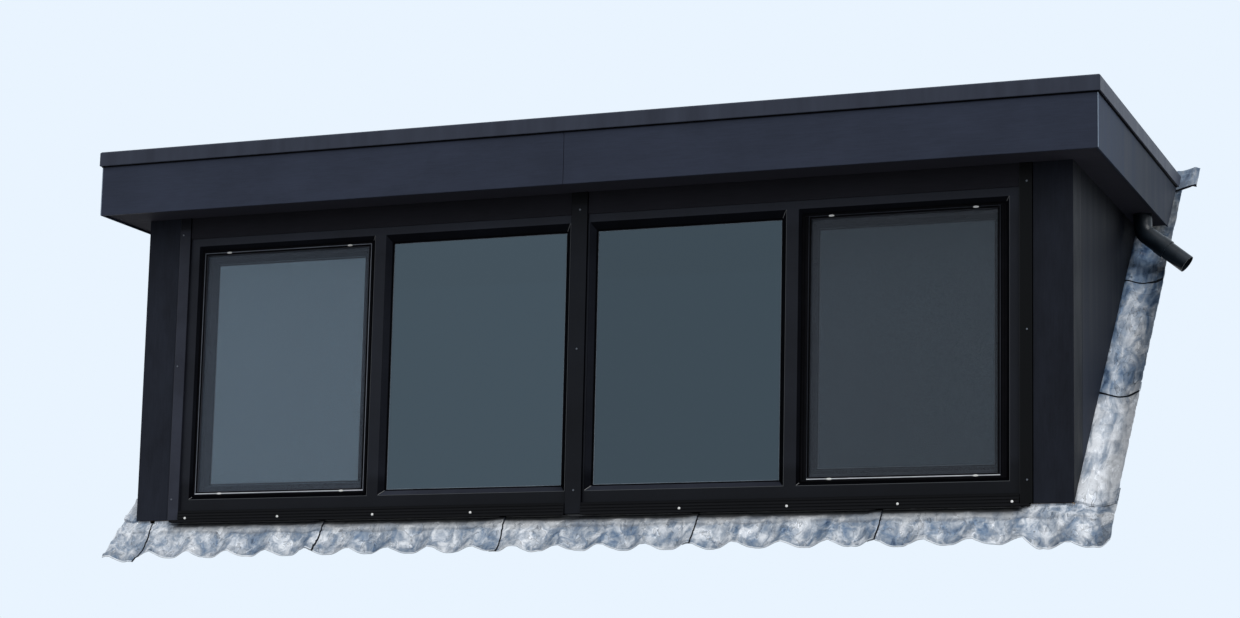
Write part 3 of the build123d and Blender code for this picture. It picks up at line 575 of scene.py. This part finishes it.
def smoothed(piece, angle):
    """Shades the piece smooth, but for edges sharper than an angle in degrees."""
    piece.data.shade_smooth()
    piece.data.set_sharp_from_angle(angle=math.radians(angle))
    return piece


def new_piece(name, mesh, material=None):
    """A new object in the scene, with one material or its mesh's own."""
    piece = bpy.data.objects.new(name, mesh)
    bpy.context.scene.collection.objects.link(piece)
    if material:
        mesh.materials.clear()
        mesh.materials.append(material)
    return piece


def eased(node, radius, finish=None):
    """A copy of a CAD node with its sharp edges eased, which stands for the node."""
    mesh = cad[node].data.copy()
    shape = bmesh.new()
    shape.from_mesh(mesh)
    bmesh.ops.remove_doubles(shape, verts=shape.verts, dist=1e-5)
    bmesh.ops.dissolve_limit(shape, angle_limit=math.radians(0.5), verts=shape.verts,
                             edges=shape.edges)
    shape.to_mesh(mesh)
    shape.free()
    piece = new_piece(f"{node}_eased", mesh, finish or finishes[node_slots[node]])
    bevel = piece.modifiers.new("eased_edges", "BEVEL")
    bevel.width = radius
    bevel.segments = 2
    bevel.limit_method = "ANGLE"
    bevel.angle_limit = math.radians(30)
    return kept(smoothed(plain_mesh(piece), 12), node_slots[node], node)


def both(stem):
    """The names of a node's left and right one."""
    return [f"{stem}_left", f"{stem}_right"]


# One glass in four copies whose IORs give each pane a stronger or weaker reflection: painted
# reflection
panes = {"sash_glass_left": window_pane("sky_side_pane", 4.3),
         "fixed_glass_left": finishes["glass"],
         "fixed_glass_right": window_pane("middle_pane", 1.84),
         "sash_glass_right": window_pane("dull_pane", 1.9)}
for node, piece in cad.items():
    piece.data.materials.clear()
    piece.data.materials.append(panes.get(node, finishes[node_slots[node]]))

eased_edges = {
    0.0016: [*both("fascia_front"), *both("corner_cladding"), "soffit_front"],
    0.0022: [*both("window_frame"), *both("sash")],
    0.0010: [*both("screen_frame"), "sill_profiles", "cover_strips", "roof_trim_front",
             "roof_trim_sides"],
    0.0030: ["curb_front", *both("curb"), "curb_rear", "corner_posts", "head_beam"],
}
for radius, names in eased_edges.items():
    for node in names:
        eased(node, radius)
for node in both("fascia_side"):
    eased(node, 0.0016, side_board)
for node in both("cheek_cladding"):
    eased(node, 0.0016, cheek_board)
eased("head_boards", 0.0016, head_board)
eased("centre_post", 0.0010, post_foil)
# Only the left sash pane's outer face keeps the strong painted reflection; its inner face gets the
# plain glass
bright_pane = eased("sash_glass_left", 0.0006, panes["sash_glass_left"])
bright_pane.data.materials.append(finishes["glass"])
for face in bright_pane.data.polygons:
    if face.normal.y > 0.5:
        face.material_index = 1


# Lead flashing

def smooth_step(value):
    """An eased step from 0 to 1."""
    value = min(1.0, max(0.0, value))
    return value * value * (3 - 2 * value)


def tile_wave(x):
    """Level of the tile wave, 0 on a crest and -1 in a broad trough."""
    turn = ((x - crest_offset) / tile_pitch) % 1
    return -smooth_step(min(turn, 1 - turn) / 0.42)


def creases(x, d, seed=1.0):
    """Ridges and dents left by beating the sheet into place, in metres."""
    spot = Vector((x * 5.0 + seed, d * 11.0, seed * 0.37))
    ridge = 1 - abs(noise.noise(spot * 1.7))
    fold = 1 - abs(noise.noise(Vector((x * 3.5 + d * 8.0, d * 3.0 - x * 1.5, seed + 5.0))))
    dent = noise.noise(spot * 2.6)
    return 0.0056 * ridge ** 9 + 0.0046 * fold ** 10 + 0.0026 * dent


def pressed_line(x, d):
    """A long shallow crease across the slope, where the sheet was first bent."""
    off = d - 0.062 - 0.010 * noise.noise(Vector((x * 2.6, 1.0, 1.7)))
    return 0.0030 * math.exp(-(off / 0.006) ** 2) - 0.0018 * math.exp(-((off - 0.012) / 0.008) ** 2)


def pleats(x, d):
    """Short folds that run down to each crest, where the lead was gathered."""
    turn = ((x - crest_offset) / tile_pitch + 0.5) % 1 - 0.5
    lean = turn * tile_pitch - 0.02 * noise.noise(Vector((x * 3.0, 1.0, 0.4))) - 0.10 * (d - 0.1)
    return 0.0040 * math.exp(-(lean / 0.007) ** 2) * smooth_step((d - 0.06) / 0.05)


def beaten(x, d):
    """All the relief of the front sheets, the same above and below a lap."""
    relief = creases(x, d) + pressed_line(x, d) + pleats(x, d)
    return relief * smooth_step((d - 0.012) / 0.03)


def hem(x, length):
    """How far down the slope a sheet reaches: less on the crests, more to the far left."""
    ragged = 0.0020 * noise.noise(Vector((x * 6.0, 3.3, 1.0)))
    to_left = 0.009 * smooth_step((-x - 0.9) / 0.9)
    return length - 0.002 - 0.005 * (1 + tile_wave(x)) + to_left + ragged


def on_slope(x, d, level):
    """The point at x, a distance down the slope and a level above it."""
    return Vector((x, 0, 0)) + lead_start + down * d + away * level


def sheet_grid(name, columns, rows, surface, gap=None, dark_edge=None, finish=None):
    """A lead sheet from a grid of points, given its thickness and smoothed.

    Gap tells where the grid is open, and dark_edge which faces are a lap's shaded edge."""
    shape = bmesh.new()
    grid = [[shape.verts.new(surface(u / columns, v / rows)) for u in range(columns + 1)]
            for v in range(rows + 1)]
    for v in range(rows):
        for u in range(columns):
            if gap and gap((u + 0.5) / columns, (v + 0.5) / rows):
                continue
            face = shape.faces.new((grid[v][u], grid[v][u + 1], grid[v + 1][u + 1], grid[v + 1][u]))
            # The front sheets' last row gets the hem's painted highlight
            if not finish and v == rows - 1:
                face.material_index = 2
            if dark_edge and dark_edge(u, v):
                face.material_index = 1
    bmesh.ops.delete(shape, geom=[v for v in shape.verts if not v.link_faces], context="VERTS")
    middle = shape.faces[:][len(shape.faces) // 2]
    shape.normal_update()
    if middle.normal.dot(away) < 0:
        bmesh.ops.reverse_faces(shape, faces=shape.faces[:])
    mesh = bpy.data.meshes.new(name)
    shape.to_mesh(mesh)
    shape.free()
    piece = new_piece(name, mesh)
    for metal in (finish or finishes["lead"], seam_edge, hem_highlight):
        mesh.materials.append(metal)
    wall = piece.modifiers.new("thickness", "SOLIDIFY")
    wall.thickness = lead_sheet
    wall.offset = -1
    return smoothed(plain_mesh(piece), 50)


def apron_sheet(name, left, right, length=apron_length, lapped=True):
    """A sheet of the front apron: up behind the sill, over the fold and down into the waves.

    Its right edge laps over the next sheet and is turned down onto it."""
    upstand, fold, fold_end = 0.016, 0.020, 0.016
    bed, lap_height, lap_ramp = 0.0008, 0.0062, 0.07
    row_step = 0.0058
    path = upstand + fold + length
    columns = max(10, round((right(0.5) - left(0.5)) / 0.0065))
    wall_y, top_z = core_y - sheet_gap, foot_z - bed

    def surface(u, v):
        run = v * path
        share = min(1.0, u * columns / (columns - 1))
        x = left(v) + (right(v) - left(v)) * share
        to_edge = right(v) - x
        rise = bed
        if lapped:
            rise += lap_height * smooth_step(1 - to_edge / lap_ramp)
            if u == 1:
                x += lap_lip
                rise = 0
        if run < upstand:
            return Vector((x, wall_y, top_z - run))
        if run < upstand + fold:
            turn = (run - upstand) / fold
            high_point = Vector((x, wall_y, top_z - upstand))
            low_point = on_slope(x, fold_end, rise)
            corner = on_slope(x, sheet_gap, rise)
            return ((1 - turn) ** 2 * high_point + 2 * turn * (1 - turn) * corner
                    + turn ** 2 * low_point)
        d = fold_end + (run - upstand - fold) / length * (hem(x, length) - fold_end)
        sink = smooth_step((d - 0.045) / 0.125)
        return on_slope(x, d, rise + wave_depth * sink * tile_wave(x) + beaten(x, d))

    return sheet_grid(name, columns, max(8, round(path / row_step)), surface,
                      dark_edge=lambda u, v: lapped and u == columns - 1 and v * row_step > upstand)


def seam(place, slant, bow=0.0):
    """A lapped edge: its place under the sill, how far it slants, and its bow."""
    return lambda v: place + slant * v + bow * math.sin(math.pi * v)


apron_seams = [(-2.050, 0.0, 0.0), (-1.190, 0.010, 0.006), (-0.318, 0.012, 0.006),
               (0.566, 0.008, 0.004), (1.360, 0.006, 0.005), (1.952, -0.004, 0.0)]
lap = 0.030
for number, (first, second) in enumerate(zip(apron_seams, apron_seams[1:])):
    sheet = apron_sheet(f"lead_apron_sheet_{number}", seam(first[0] - lap, *first[1:]),
                        seam(*second), lapped=number < len(apron_seams) - 2)
    kept(sheet, "lead")
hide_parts("lead_apron")


def corner_sheet(side, inner):
    """A sheet round the dormer's corner: along the front, and up beside the cheek.

    The front's part starts at the wall line. Behind that line the sheet lies beside the cheek."""
    outer = flashing_edges[side]
    columns = round((outer - inner) / 0.006)
    climb, wall_line = 0.112, 0.004
    bed = 0.0058 if side < 0 else 0.0030

    def surface(u, v):
        d = -climb + v * (climb + corner_length)
        along = max(0.0, d / corner_length)
        start = inner + 0.024 * (1 - along) ** 3 + 0.030 * smooth_step((along - 0.72) / 0.28) ** 2
        share = max(0.0, (u * columns - 1) / (columns - 1))
        x = start + (outer - start) * share
        trimmed = 0.026 * smooth_step(1 - (outer - x) / 0.035) if side > 0 else 0.0017
        trimmed += (corner_length - apron_length) * smooth_step((2.045 - x) / 0.085)
        if d > 0:
            d *= (hem(side * x, corner_length) - trimmed) / corner_length
        sink = smooth_step((d - 0.045) / 0.14)
        beside = smooth_step((x - core_x) / 0.03)
        depth = max(wave_depth * sink, side_wave_depth * beside * smooth_step((0.08 - d) / 0.1))
        near = beside if d < wall_line else 1
        lift = bed
        if u == 0:
            x -= lap_lip
            lift = 0.0
        level = lift * smooth_step((d + climb) / 0.1) + depth * tile_wave(side * x) * near
        wrinkled = beaten(side * x, d) + creases(side * x, d) * smooth_step(-d / 0.05)
        if side > 0:
            corner = math.exp(-((x - core_x + 0.03) / 0.075) ** 2 - ((d - 0.04) / 0.075) ** 2)
            crumple = 1 - abs(noise.noise(Vector((x * 17, d * 15, side * 4.0))))
            wrinkled += corner * (0.013 * crumple ** 5 - 0.003)
        return on_slope(side * x, d, level + wrinkled)

    def under_wall(u, v):
        d = -climb + v * (climb + corner_length)
        return d < wall_line and inner + (outer - inner) * u < core_x + 0.001

    piece = sheet_grid(f"lead_corner_sheet_{side_names[side]}", columns, 56, surface, under_wall,
                       lambda u, v: side < 0 and u == 0)
    return kept(piece, "lead", f"lead_corner_{side_names[side]}")


for side, inner in ((-1, 2.046), (1, 1.920)):
    corner_sheet(side, inner)
    first, second = sorted((side * (inner + 0.012), side * (core_x - 0.001)))
    kept(apron_sheet(f"lead_corner_upstand_{side_names[side]}",
                     seam(first, 0), seam(second, 0), 0.05, False), "lead")


def side_sheet(side, number, low, high, outer, depth=side_wave_depth):
    """One sheet beside the cheek, lapped over the one below, its inner edge turned up."""
    lip = 0.012
    inner = core_x + 0.0015
    low_rise, high_rise = 0.0120, 0.0048
    rows = max(12, round((high - low) / 0.0085))

    def surface(u, v):
        share = max(0.0, (v * rows - 1) / (rows - 1))
        d = -(low + (high - low) * share)
        rise = low_rise + (high_rise - low_rise) * share
        if v == 0:
            d += 0.0040
            rise = 0.0025
        path = u * (outer - core_x + lip)
        if path < lip:
            return on_slope(side * inner, d, rise + lip - path)
        x = inner + (path - lip) * (outer - inner) / (outer - core_x)
        rim = smooth_step((x - outer + 0.06) / 0.06)
        x += 0.0030 * (noise.noise(Vector((3.0, d * 7.0, number))) - 1) * rim
        near = smooth_step((x - core_x) / 0.03)
        level = rise + depth * tile_wave(side * x) * near
        bow = 0.012 * math.sin(math.pi * u) * (1 - share) ** 6
        wrinkled = 1.3 * creases(side * x, d, 20 + side) * smooth_step((x - core_x) / 0.01)
        return on_slope(side * x, d + bow, level + wrinkled)

    name = f"lead_side_sheet_{side_names[side]}_{number}"
    columns = round((outer - core_x) / 0.0065)
    return sheet_grid(name, columns, rows, surface, None, lambda u, v: v == 0 and number > 0,
                      side_lead)


side_run = ((fascia_high.z - foot_z) / slope + front_y - core_y) / math.cos(pitch) + 0.027
side_ends = [0.020, 0.32 * side_run, 0.678 * side_run, side_run]
side_lap = 0.070
for side, side_name in side_names.items():
    outer = flashing_edges[side]
    sheets = [side_sheet(side, number, low, high + side_lap, outer)
              for number, (low, high) in enumerate(zip(side_ends, side_ends[1:]))]
    sheets.append(side_sheet(side, 3, side_run, side_run + 0.153, outer + 0.065, 0.016))
    for sheet in sheets:
        kept(sheet, "lead")
    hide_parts(f"lead_side_{side_name}")


# Rows of fasteners

def made_tree(name, build, **sockets):
    """A Geometry Nodes tree with named inputs. What it builds is realized and gets its finish."""
    tree = bpy.data.node_groups.new(name, "GeometryNodeTree")
    for label, kind in sockets.items():
        tree.interface.new_socket(label.replace("_", " "), in_out="INPUT",
                                  socket_type=f"NodeSocket{kind}")
    tree.interface.new_socket("Finish", in_out="INPUT", socket_type="NodeSocketMaterial")
    tree.interface.new_socket("Geometry", in_out="OUTPUT", socket_type="NodeSocketGeometry")
    given = new_node(tree, "NodeGroupInput").outputs
    realized = new_node(tree, "GeometryNodeRealizeInstances", Geometry=build(tree, given))
    painted = new_node(tree, "GeometryNodeSetMaterial", Geometry=realized.outputs["Geometry"],
                       Material=given["Finish"])
    new_node(tree, "NodeGroupOutput", Geometry=painted.outputs["Geometry"])
    return tree


def from_tree(piece, tree, **values):
    """Makes the piece a plain mesh from a tree, its inputs set by their sockets."""
    modifier = piece.modifiers.new("made", "NODES")
    modifier.node_group = tree
    for item in tree.interface.items_tree:
        label = item.name.replace(" ", "_")
        if item.in_out == "INPUT" and label in values:
            modifier[item.identifier] = values[label]
    return plain_mesh(piece)


def row_tree(name, build_head):
    """One head, repeated along a line of points."""
    def build(tree, given):
        line = new_node(tree, "GeometryNodeMeshLine", Count=given["Count"],
                        Start_Location=given["First Place"], Offset=given["Pitch"])
        heads = new_node(tree, "GeometryNodeInstanceOnPoints", Points=line.outputs["Mesh"],
                         Instance=build_head(tree, given), Rotation=given["Turn"],
                         Scale=given["Stretch"])
        return heads.outputs["Instances"]

    return made_tree(name, build, Head_Radius="Float", Head_Height="Float", First_Place="Vector",
                     Pitch="Vector", Count="Int", Turn="Vector", Stretch="Vector")


def cone_head(tree, given, sides, narrowing):
    """A frustum with the head's radius and height, narrower at its top."""
    radius = given["Head Radius"]
    cone = new_node(tree, "GeometryNodeMeshCone", Vertices=sides, Radius_Bottom=radius,
                    Radius_Top=product(tree, radius, narrowing), Depth=given["Head Height"])
    return cone.outputs["Mesh"]


def domed_head(tree, given):
    """A round cap: a low cone frustum over a thin disc."""
    lift = new_node(tree, "ShaderNodeCombineXYZ", Z=given["Head Height"])
    raised = new_node(tree, "GeometryNodeTransform", Geometry=cone_head(tree, given, 20, 0.72),
                      Translation=lift.outputs["Vector"])
    joined = new_node(tree, "GeometryNodeJoinGeometry", Geometry=cone_head(tree, given, 20, 1.0))
    return wired(tree, joined, Geometry=raised.outputs["Geometry"]).outputs["Geometry"]


def crossed_head(tree, given):
    """A pan head with a cross recess."""
    cut = tree.nodes.new("GeometryNodeMeshBoolean")
    cut.operation = "DIFFERENCE"
    wired(tree, cut, Mesh_1=cone_head(tree, given, 24, 0.8))
    for size in ((0.0052, 0.0012, 0.003), (0.0012, 0.0052, 0.003)):
        bar = new_node(tree, "GeometryNodeMeshCube", Size=size)
        raised = new_node(tree, "GeometryNodeTransform", Geometry=bar.outputs["Mesh"],
                          Translation=(0, 0, 0.0028))
        wired(tree, cut, Mesh_2=raised.outputs["Geometry"])
    return cut.outputs["Mesh"]


def fastener_row(name, tree, finish, slot_name, **values):
    """One row of fasteners from a tree."""
    values.setdefault("Stretch", (1, 1, 1))
    piece = new_piece(name, bpy.data.meshes.new(name))
    return kept(smoothed(from_tree(piece, tree, Finish=finish, **values), 35), slot_name)


cap_tree = row_tree("caps_in_a_row", domed_head)
screw_tree = row_tree("screws_in_a_row", crossed_head)
to_front = (math.pi / 2, 0, 0)
cap_pitch = 0.4718
for side, first in (("left", -1.889), ("right", 0.487)):
    fastener_row(f"sill_caps_{side}", cap_tree, white_cap, "sill_profile", Head_Radius=0.0055,
                 Head_Height=0.0022, First_Place=(first, sill_face + 0.0002, foot_z + 0.0075),
                 Pitch=(cap_pitch, 0, 0), Count=4, Turn=to_front)
post_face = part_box("centre_post")[0].y
for name, place, face in (("strip_screws_left", -1.968, strip_face),
                          ("strip_screws_right", 1.962, strip_face),
                          ("post_screws", 0.002, post_face)):
    fastener_row(name, screw_tree, dull_screw, "cover_strip", Head_Radius=0.0045,
                 Head_Height=0.0024, First_Place=(place, face + 0.0004, foot_z + 0.095),
                 Pitch=(0, 0, 0.610), Count=3, Turn=to_front)
clip_gap = 0.616
for side, first in (("left", -1.738), ("right", 1.129)):
    for level, name in ((screen_low.z + 0.0035, "lower"), (screen_high.z - 0.0035, "upper")):
        fastener_row(f"screen_clips_{side}_{name}", cap_tree, white_cap, "screen_frame",
                     Head_Radius=0.0046, Head_Height=0.0018, Stretch=(2.7, 1, 1),
                     First_Place=(first, screen_low.y - 0.0006, level),
                     Pitch=(clip_gap, 0, 0), Count=2, Turn=to_front)


# Seals, lips and edges that follow a path

def swept_bar(tree, given):
    """A flat bar swept along the piece's own line of edges."""
    line = new_node(tree, "GeometryNodeMeshToCurve", Mesh=given["Geometry"])
    bar = new_node(tree, "GeometryNodeCurvePrimitiveQuadrilateral", Width=given["Bar Across"],
                   Height=given["Bar Up"])
    swept = new_node(tree, "GeometryNodeCurveToMesh", Curve=line.outputs["Curve"],
                     Profile_Curve=bar.outputs["Curve"], Fill_Caps=True)
    return swept.outputs["Mesh"]


bar_tree = made_tree("bar_along_a_path", swept_bar, Geometry="Geometry", Bar_Across="Float",
                     Bar_Up="Float")


def bar_along(name, points, across, up, finish, slot_name, closed=False):
    """A bar swept along a line of points, with outward faces."""
    mesh = bpy.data.meshes.new(name)
    edges = [(i, i + 1) for i in range(len(points) - 1)]
    if closed:
        edges.append((len(points) - 1, 0))
    mesh.from_pydata([tuple(point) for point in points], edges, [])
    piece = from_tree(new_piece(name, mesh), bar_tree, Bar_Across=across, Bar_Up=up, Finish=finish)
    shape = bmesh.new()
    shape.from_mesh(piece.data)
    bmesh.ops.recalc_face_normals(shape, faces=shape.faces)
    shape.to_mesh(piece.data)
    shape.free()
    return kept(piece, slot_name)


def ring_points(low, high, outset, y):
    """Corners of an upright rectangle round a box, grown by the outset."""
    x0, x1, z0, z1 = low.x - outset, high.x + outset, low.z - outset, high.z + outset
    return [(x0, y, z0), (x1, y, z0), (x1, y, z1), (x0, y, z1)]


# A ring's bar is cut at 45 degrees in its corners, which makes it thinner by this factor
mitre = math.sqrt(2)
glass_rebate = 0.014
for node in both("fixed_glass") + both("sash_glass"):
    low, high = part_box(node)
    for face, y in (("outer", low.y - 0.0008), ("inner", high.y + 0.0008)):
        bar_along(f"{node}_seal_{face}", ring_points(low, high, -glass_rebate - 0.001, y),
                  0.0044, 0.005 * mitre, seal_rubber, "window_frame", True)
    bar_along(f"{node}_spacer", ring_points(low, high, -glass_rebate - 0.0048, low.y - 0.0002),
              0.0008, 0.0026 * mitre, spacer, "window_frame", True)

# Round each screen, a black ring over the frame's bevel is painted shade of the gap there
for side, finish, inset in (("left", lip_highlight, 0.002), ("right", lip_shade, 0.019)):
    low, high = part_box(f"screen_frame_{side}")
    bar_along(f"screen_brush_{side}", ring_points(low, high, 0.0055, low.y + 0.002),
              0.008, 0.011 * mitre, seal_rubber, "window_frame", True)
    shift = Vector((inset - 0.002, 0, 0))
    bar_along(f"screen_lip_{side}", ring_points(low + shift, high - shift, -0.002, low.y - 0.0004),
              0.002, 0.0026 * mitre, finish, "screen_frame", True)
    bar_along(f"screen_groove_{side}",
              ring_points(low + shift, high - shift, -0.0078, low.y - 0.0001),
              0.0008, 0.0086 * mitre, seal_rubber, "screen_frame", True)
    bar_along(f"screen_foot_{side}",
              [(low.x + inset, low.y - 0.0016, low.z + 0.0040),
               (high.x - inset, low.y - 0.0016, low.z + 0.0040)],
              0.0024, 0.0042, foot_highlight, "screen_frame")
# Black strips over the right screen frame's sides: painted shade of its outer band
low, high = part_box("screen_frame_right")
for name, x in (("left", low.x + 0.0085), ("right", high.x - 0.0085)):
    bar_along(f"screen_seal_strip_{name}", [(x, low.y - 0.0004, low.z + 0.001),
                                            (x, low.y - 0.0004, high.z - 0.001)],
              0.017, 0.0014, seal_rubber, "screen_frame")

# Lead that closes the corners under the cladding, and the drain's rubber
for side, side_name in side_names.items():
    edge_x = side * (core_x + 0.0012)
    bar_along(f"lead_corner_cover_{side_name}",
              [(edge_x, core_y + along, foot_z - 0.0115) for along in (-0.0010, 0.024)],
              0.0020, 0.018, finishes["lead"], "lead")
low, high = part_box("roof_outlet")
fastener_row("drain_rubber", cap_tree, seal_rubber, "outlet", Head_Radius=0.0275,
             Head_Height=0.003, Pitch=(0.1, 0, 0), Count=1, Turn=(0, 0, 0),
             First_Place=((low.x + high.x) / 2, (low.y + high.y) / 2, low.z + 0.004))

# Rubber that shows under the roof trim, which also stands in for the shade line under it, and a
# painted highlight along the fascia's corners
trim_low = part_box("roof_trim_front")[0].z
rubber_z = trim_low - 0.0015
rubber_y = fascia_low.y - 0.0025
rubber_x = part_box("fascia_side_right")[1].x + 0.0025
rear_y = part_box("roof_trim_sides")[1].y - 0.08
# A black rubber edge under the trim, which also stands in for the shade line beneath it
bar_along("membrane_edge", [(-rubber_x, rear_y, rubber_z), (-rubber_x, rubber_y, rubber_z),
                            (rubber_x, rubber_y, rubber_z), (rubber_x, rear_y, rubber_z)],
          0.005, 0.008, seal_rubber, "membrane")
for side, side_name in side_names.items():
    edge_x = side * (rubber_x - 0.0025)
    bar_along(f"fascia_corner_{side_name}",
              [(edge_x, fascia_low.y, fascia_low.z + 0.002), (edge_x, fascia_low.y, trim_low)],
              0.003, 0.003, board_core, "fascia")


# Floor, light and camera

def seen_directly(tree):
    """1 where the camera sees the surface, straight, in a reflection or through glass."""
    path = tree.nodes.new("ShaderNodeLightPath").outputs
    return highest(tree, path["Is Camera Ray"], path["Is Glossy Ray"],
                   path["Is Transmission Ray"])


sky_colour = tone(233, 244, 255)
floor_mesh = bpy.data.meshes.new("floor")
floor_half, floor_z = 120, -1.75
floor_mesh.from_pydata([(-floor_half, -floor_half, floor_z), (floor_half, -floor_half, floor_z),
                        (floor_half, floor_half, floor_z), (-floor_half, floor_half, floor_z)],
                       [], [(0, 1, 2, 3)])
floor = new_piece("floor", floor_mesh)
floor_material, floor_tree, floor_shader = new_finish("pale_floor", Roughness=0.9)
floor_tones = [(0.4, tone(104, 103, 102)), (0.6, tone(214, 216, 220))]
wired(floor_tree, floor_shader,
      Base_Color=toned(floor_tree, seen_directly(floor_tree), floor_tones))
floor_mesh.materials.append(floor_material)

world = bpy.data.worlds.new("soft_sky")
bpy.context.scene.world = world
world.use_nodes = True
sky = world.node_tree
dome = toned(sky, ranged(sky, axis_value(sky, "Z", "Generated"), 0, 1, -1, 1),
             [(0.0, (0.10, 0.10, 0.10, 1)), (0.48, (0.30, 0.31, 0.33, 1)),
              (0.54, (0.80, 0.85, 0.92, 1)), (1.0, (1.0, 1.0, 1.0, 1))])
wired(sky, sky.nodes["Background"], Strength=1.0,
      Color=overlaid(sky, dome, sky_colour, seen_directly(sky)))

sun = bpy.data.objects.new("soft_sun", bpy.data.lights.new("soft_sun", "SUN"))
sun.data.energy = 1.6
sun.data.angle = math.radians(38)
sun_from = Vector((0.78, -0.42, 0.62))
sun.rotation_euler = sun_from.to_track_quat("Z", "Y").to_euler()
bpy.context.scene.collection.objects.link(sun)

photo_width = 1240
focal_pixels = 2669.8
shift_pixels = 80
camera_at = Vector((4.3651, -10.5054, -1.1245))
yaw, tilt, roll = math.radians(21.75), math.radians(8.62), math.radians(1.25)
ahead = Vector((-math.sin(yaw) * math.cos(tilt), math.cos(yaw) * math.cos(tilt), math.sin(tilt)))
level_right = Vector((math.cos(yaw), math.sin(yaw), 0))
level_up = level_right.cross(ahead)
right = level_right * math.cos(roll) + level_up * math.sin(roll)
up = level_up * math.cos(roll) - level_right * math.sin(roll)
camera = bpy.data.objects.new("camera", bpy.data.cameras.new("camera"))
camera.data.sensor_width = 36
camera.data.lens = focal_pixels / photo_width * camera.data.sensor_width
camera.data.shift_y = shift_pixels / photo_width
camera.data.clip_end = 400
camera.matrix_world = (Matrix.Translation(camera_at)
                       @ Matrix((right, up, -ahead)).transposed().to_4x4())
bpy.context.scene.collection.objects.link(camera)
bpy.context.scene.camera = camera
bpy.context.scene.view_settings.view_transform = "Standard"
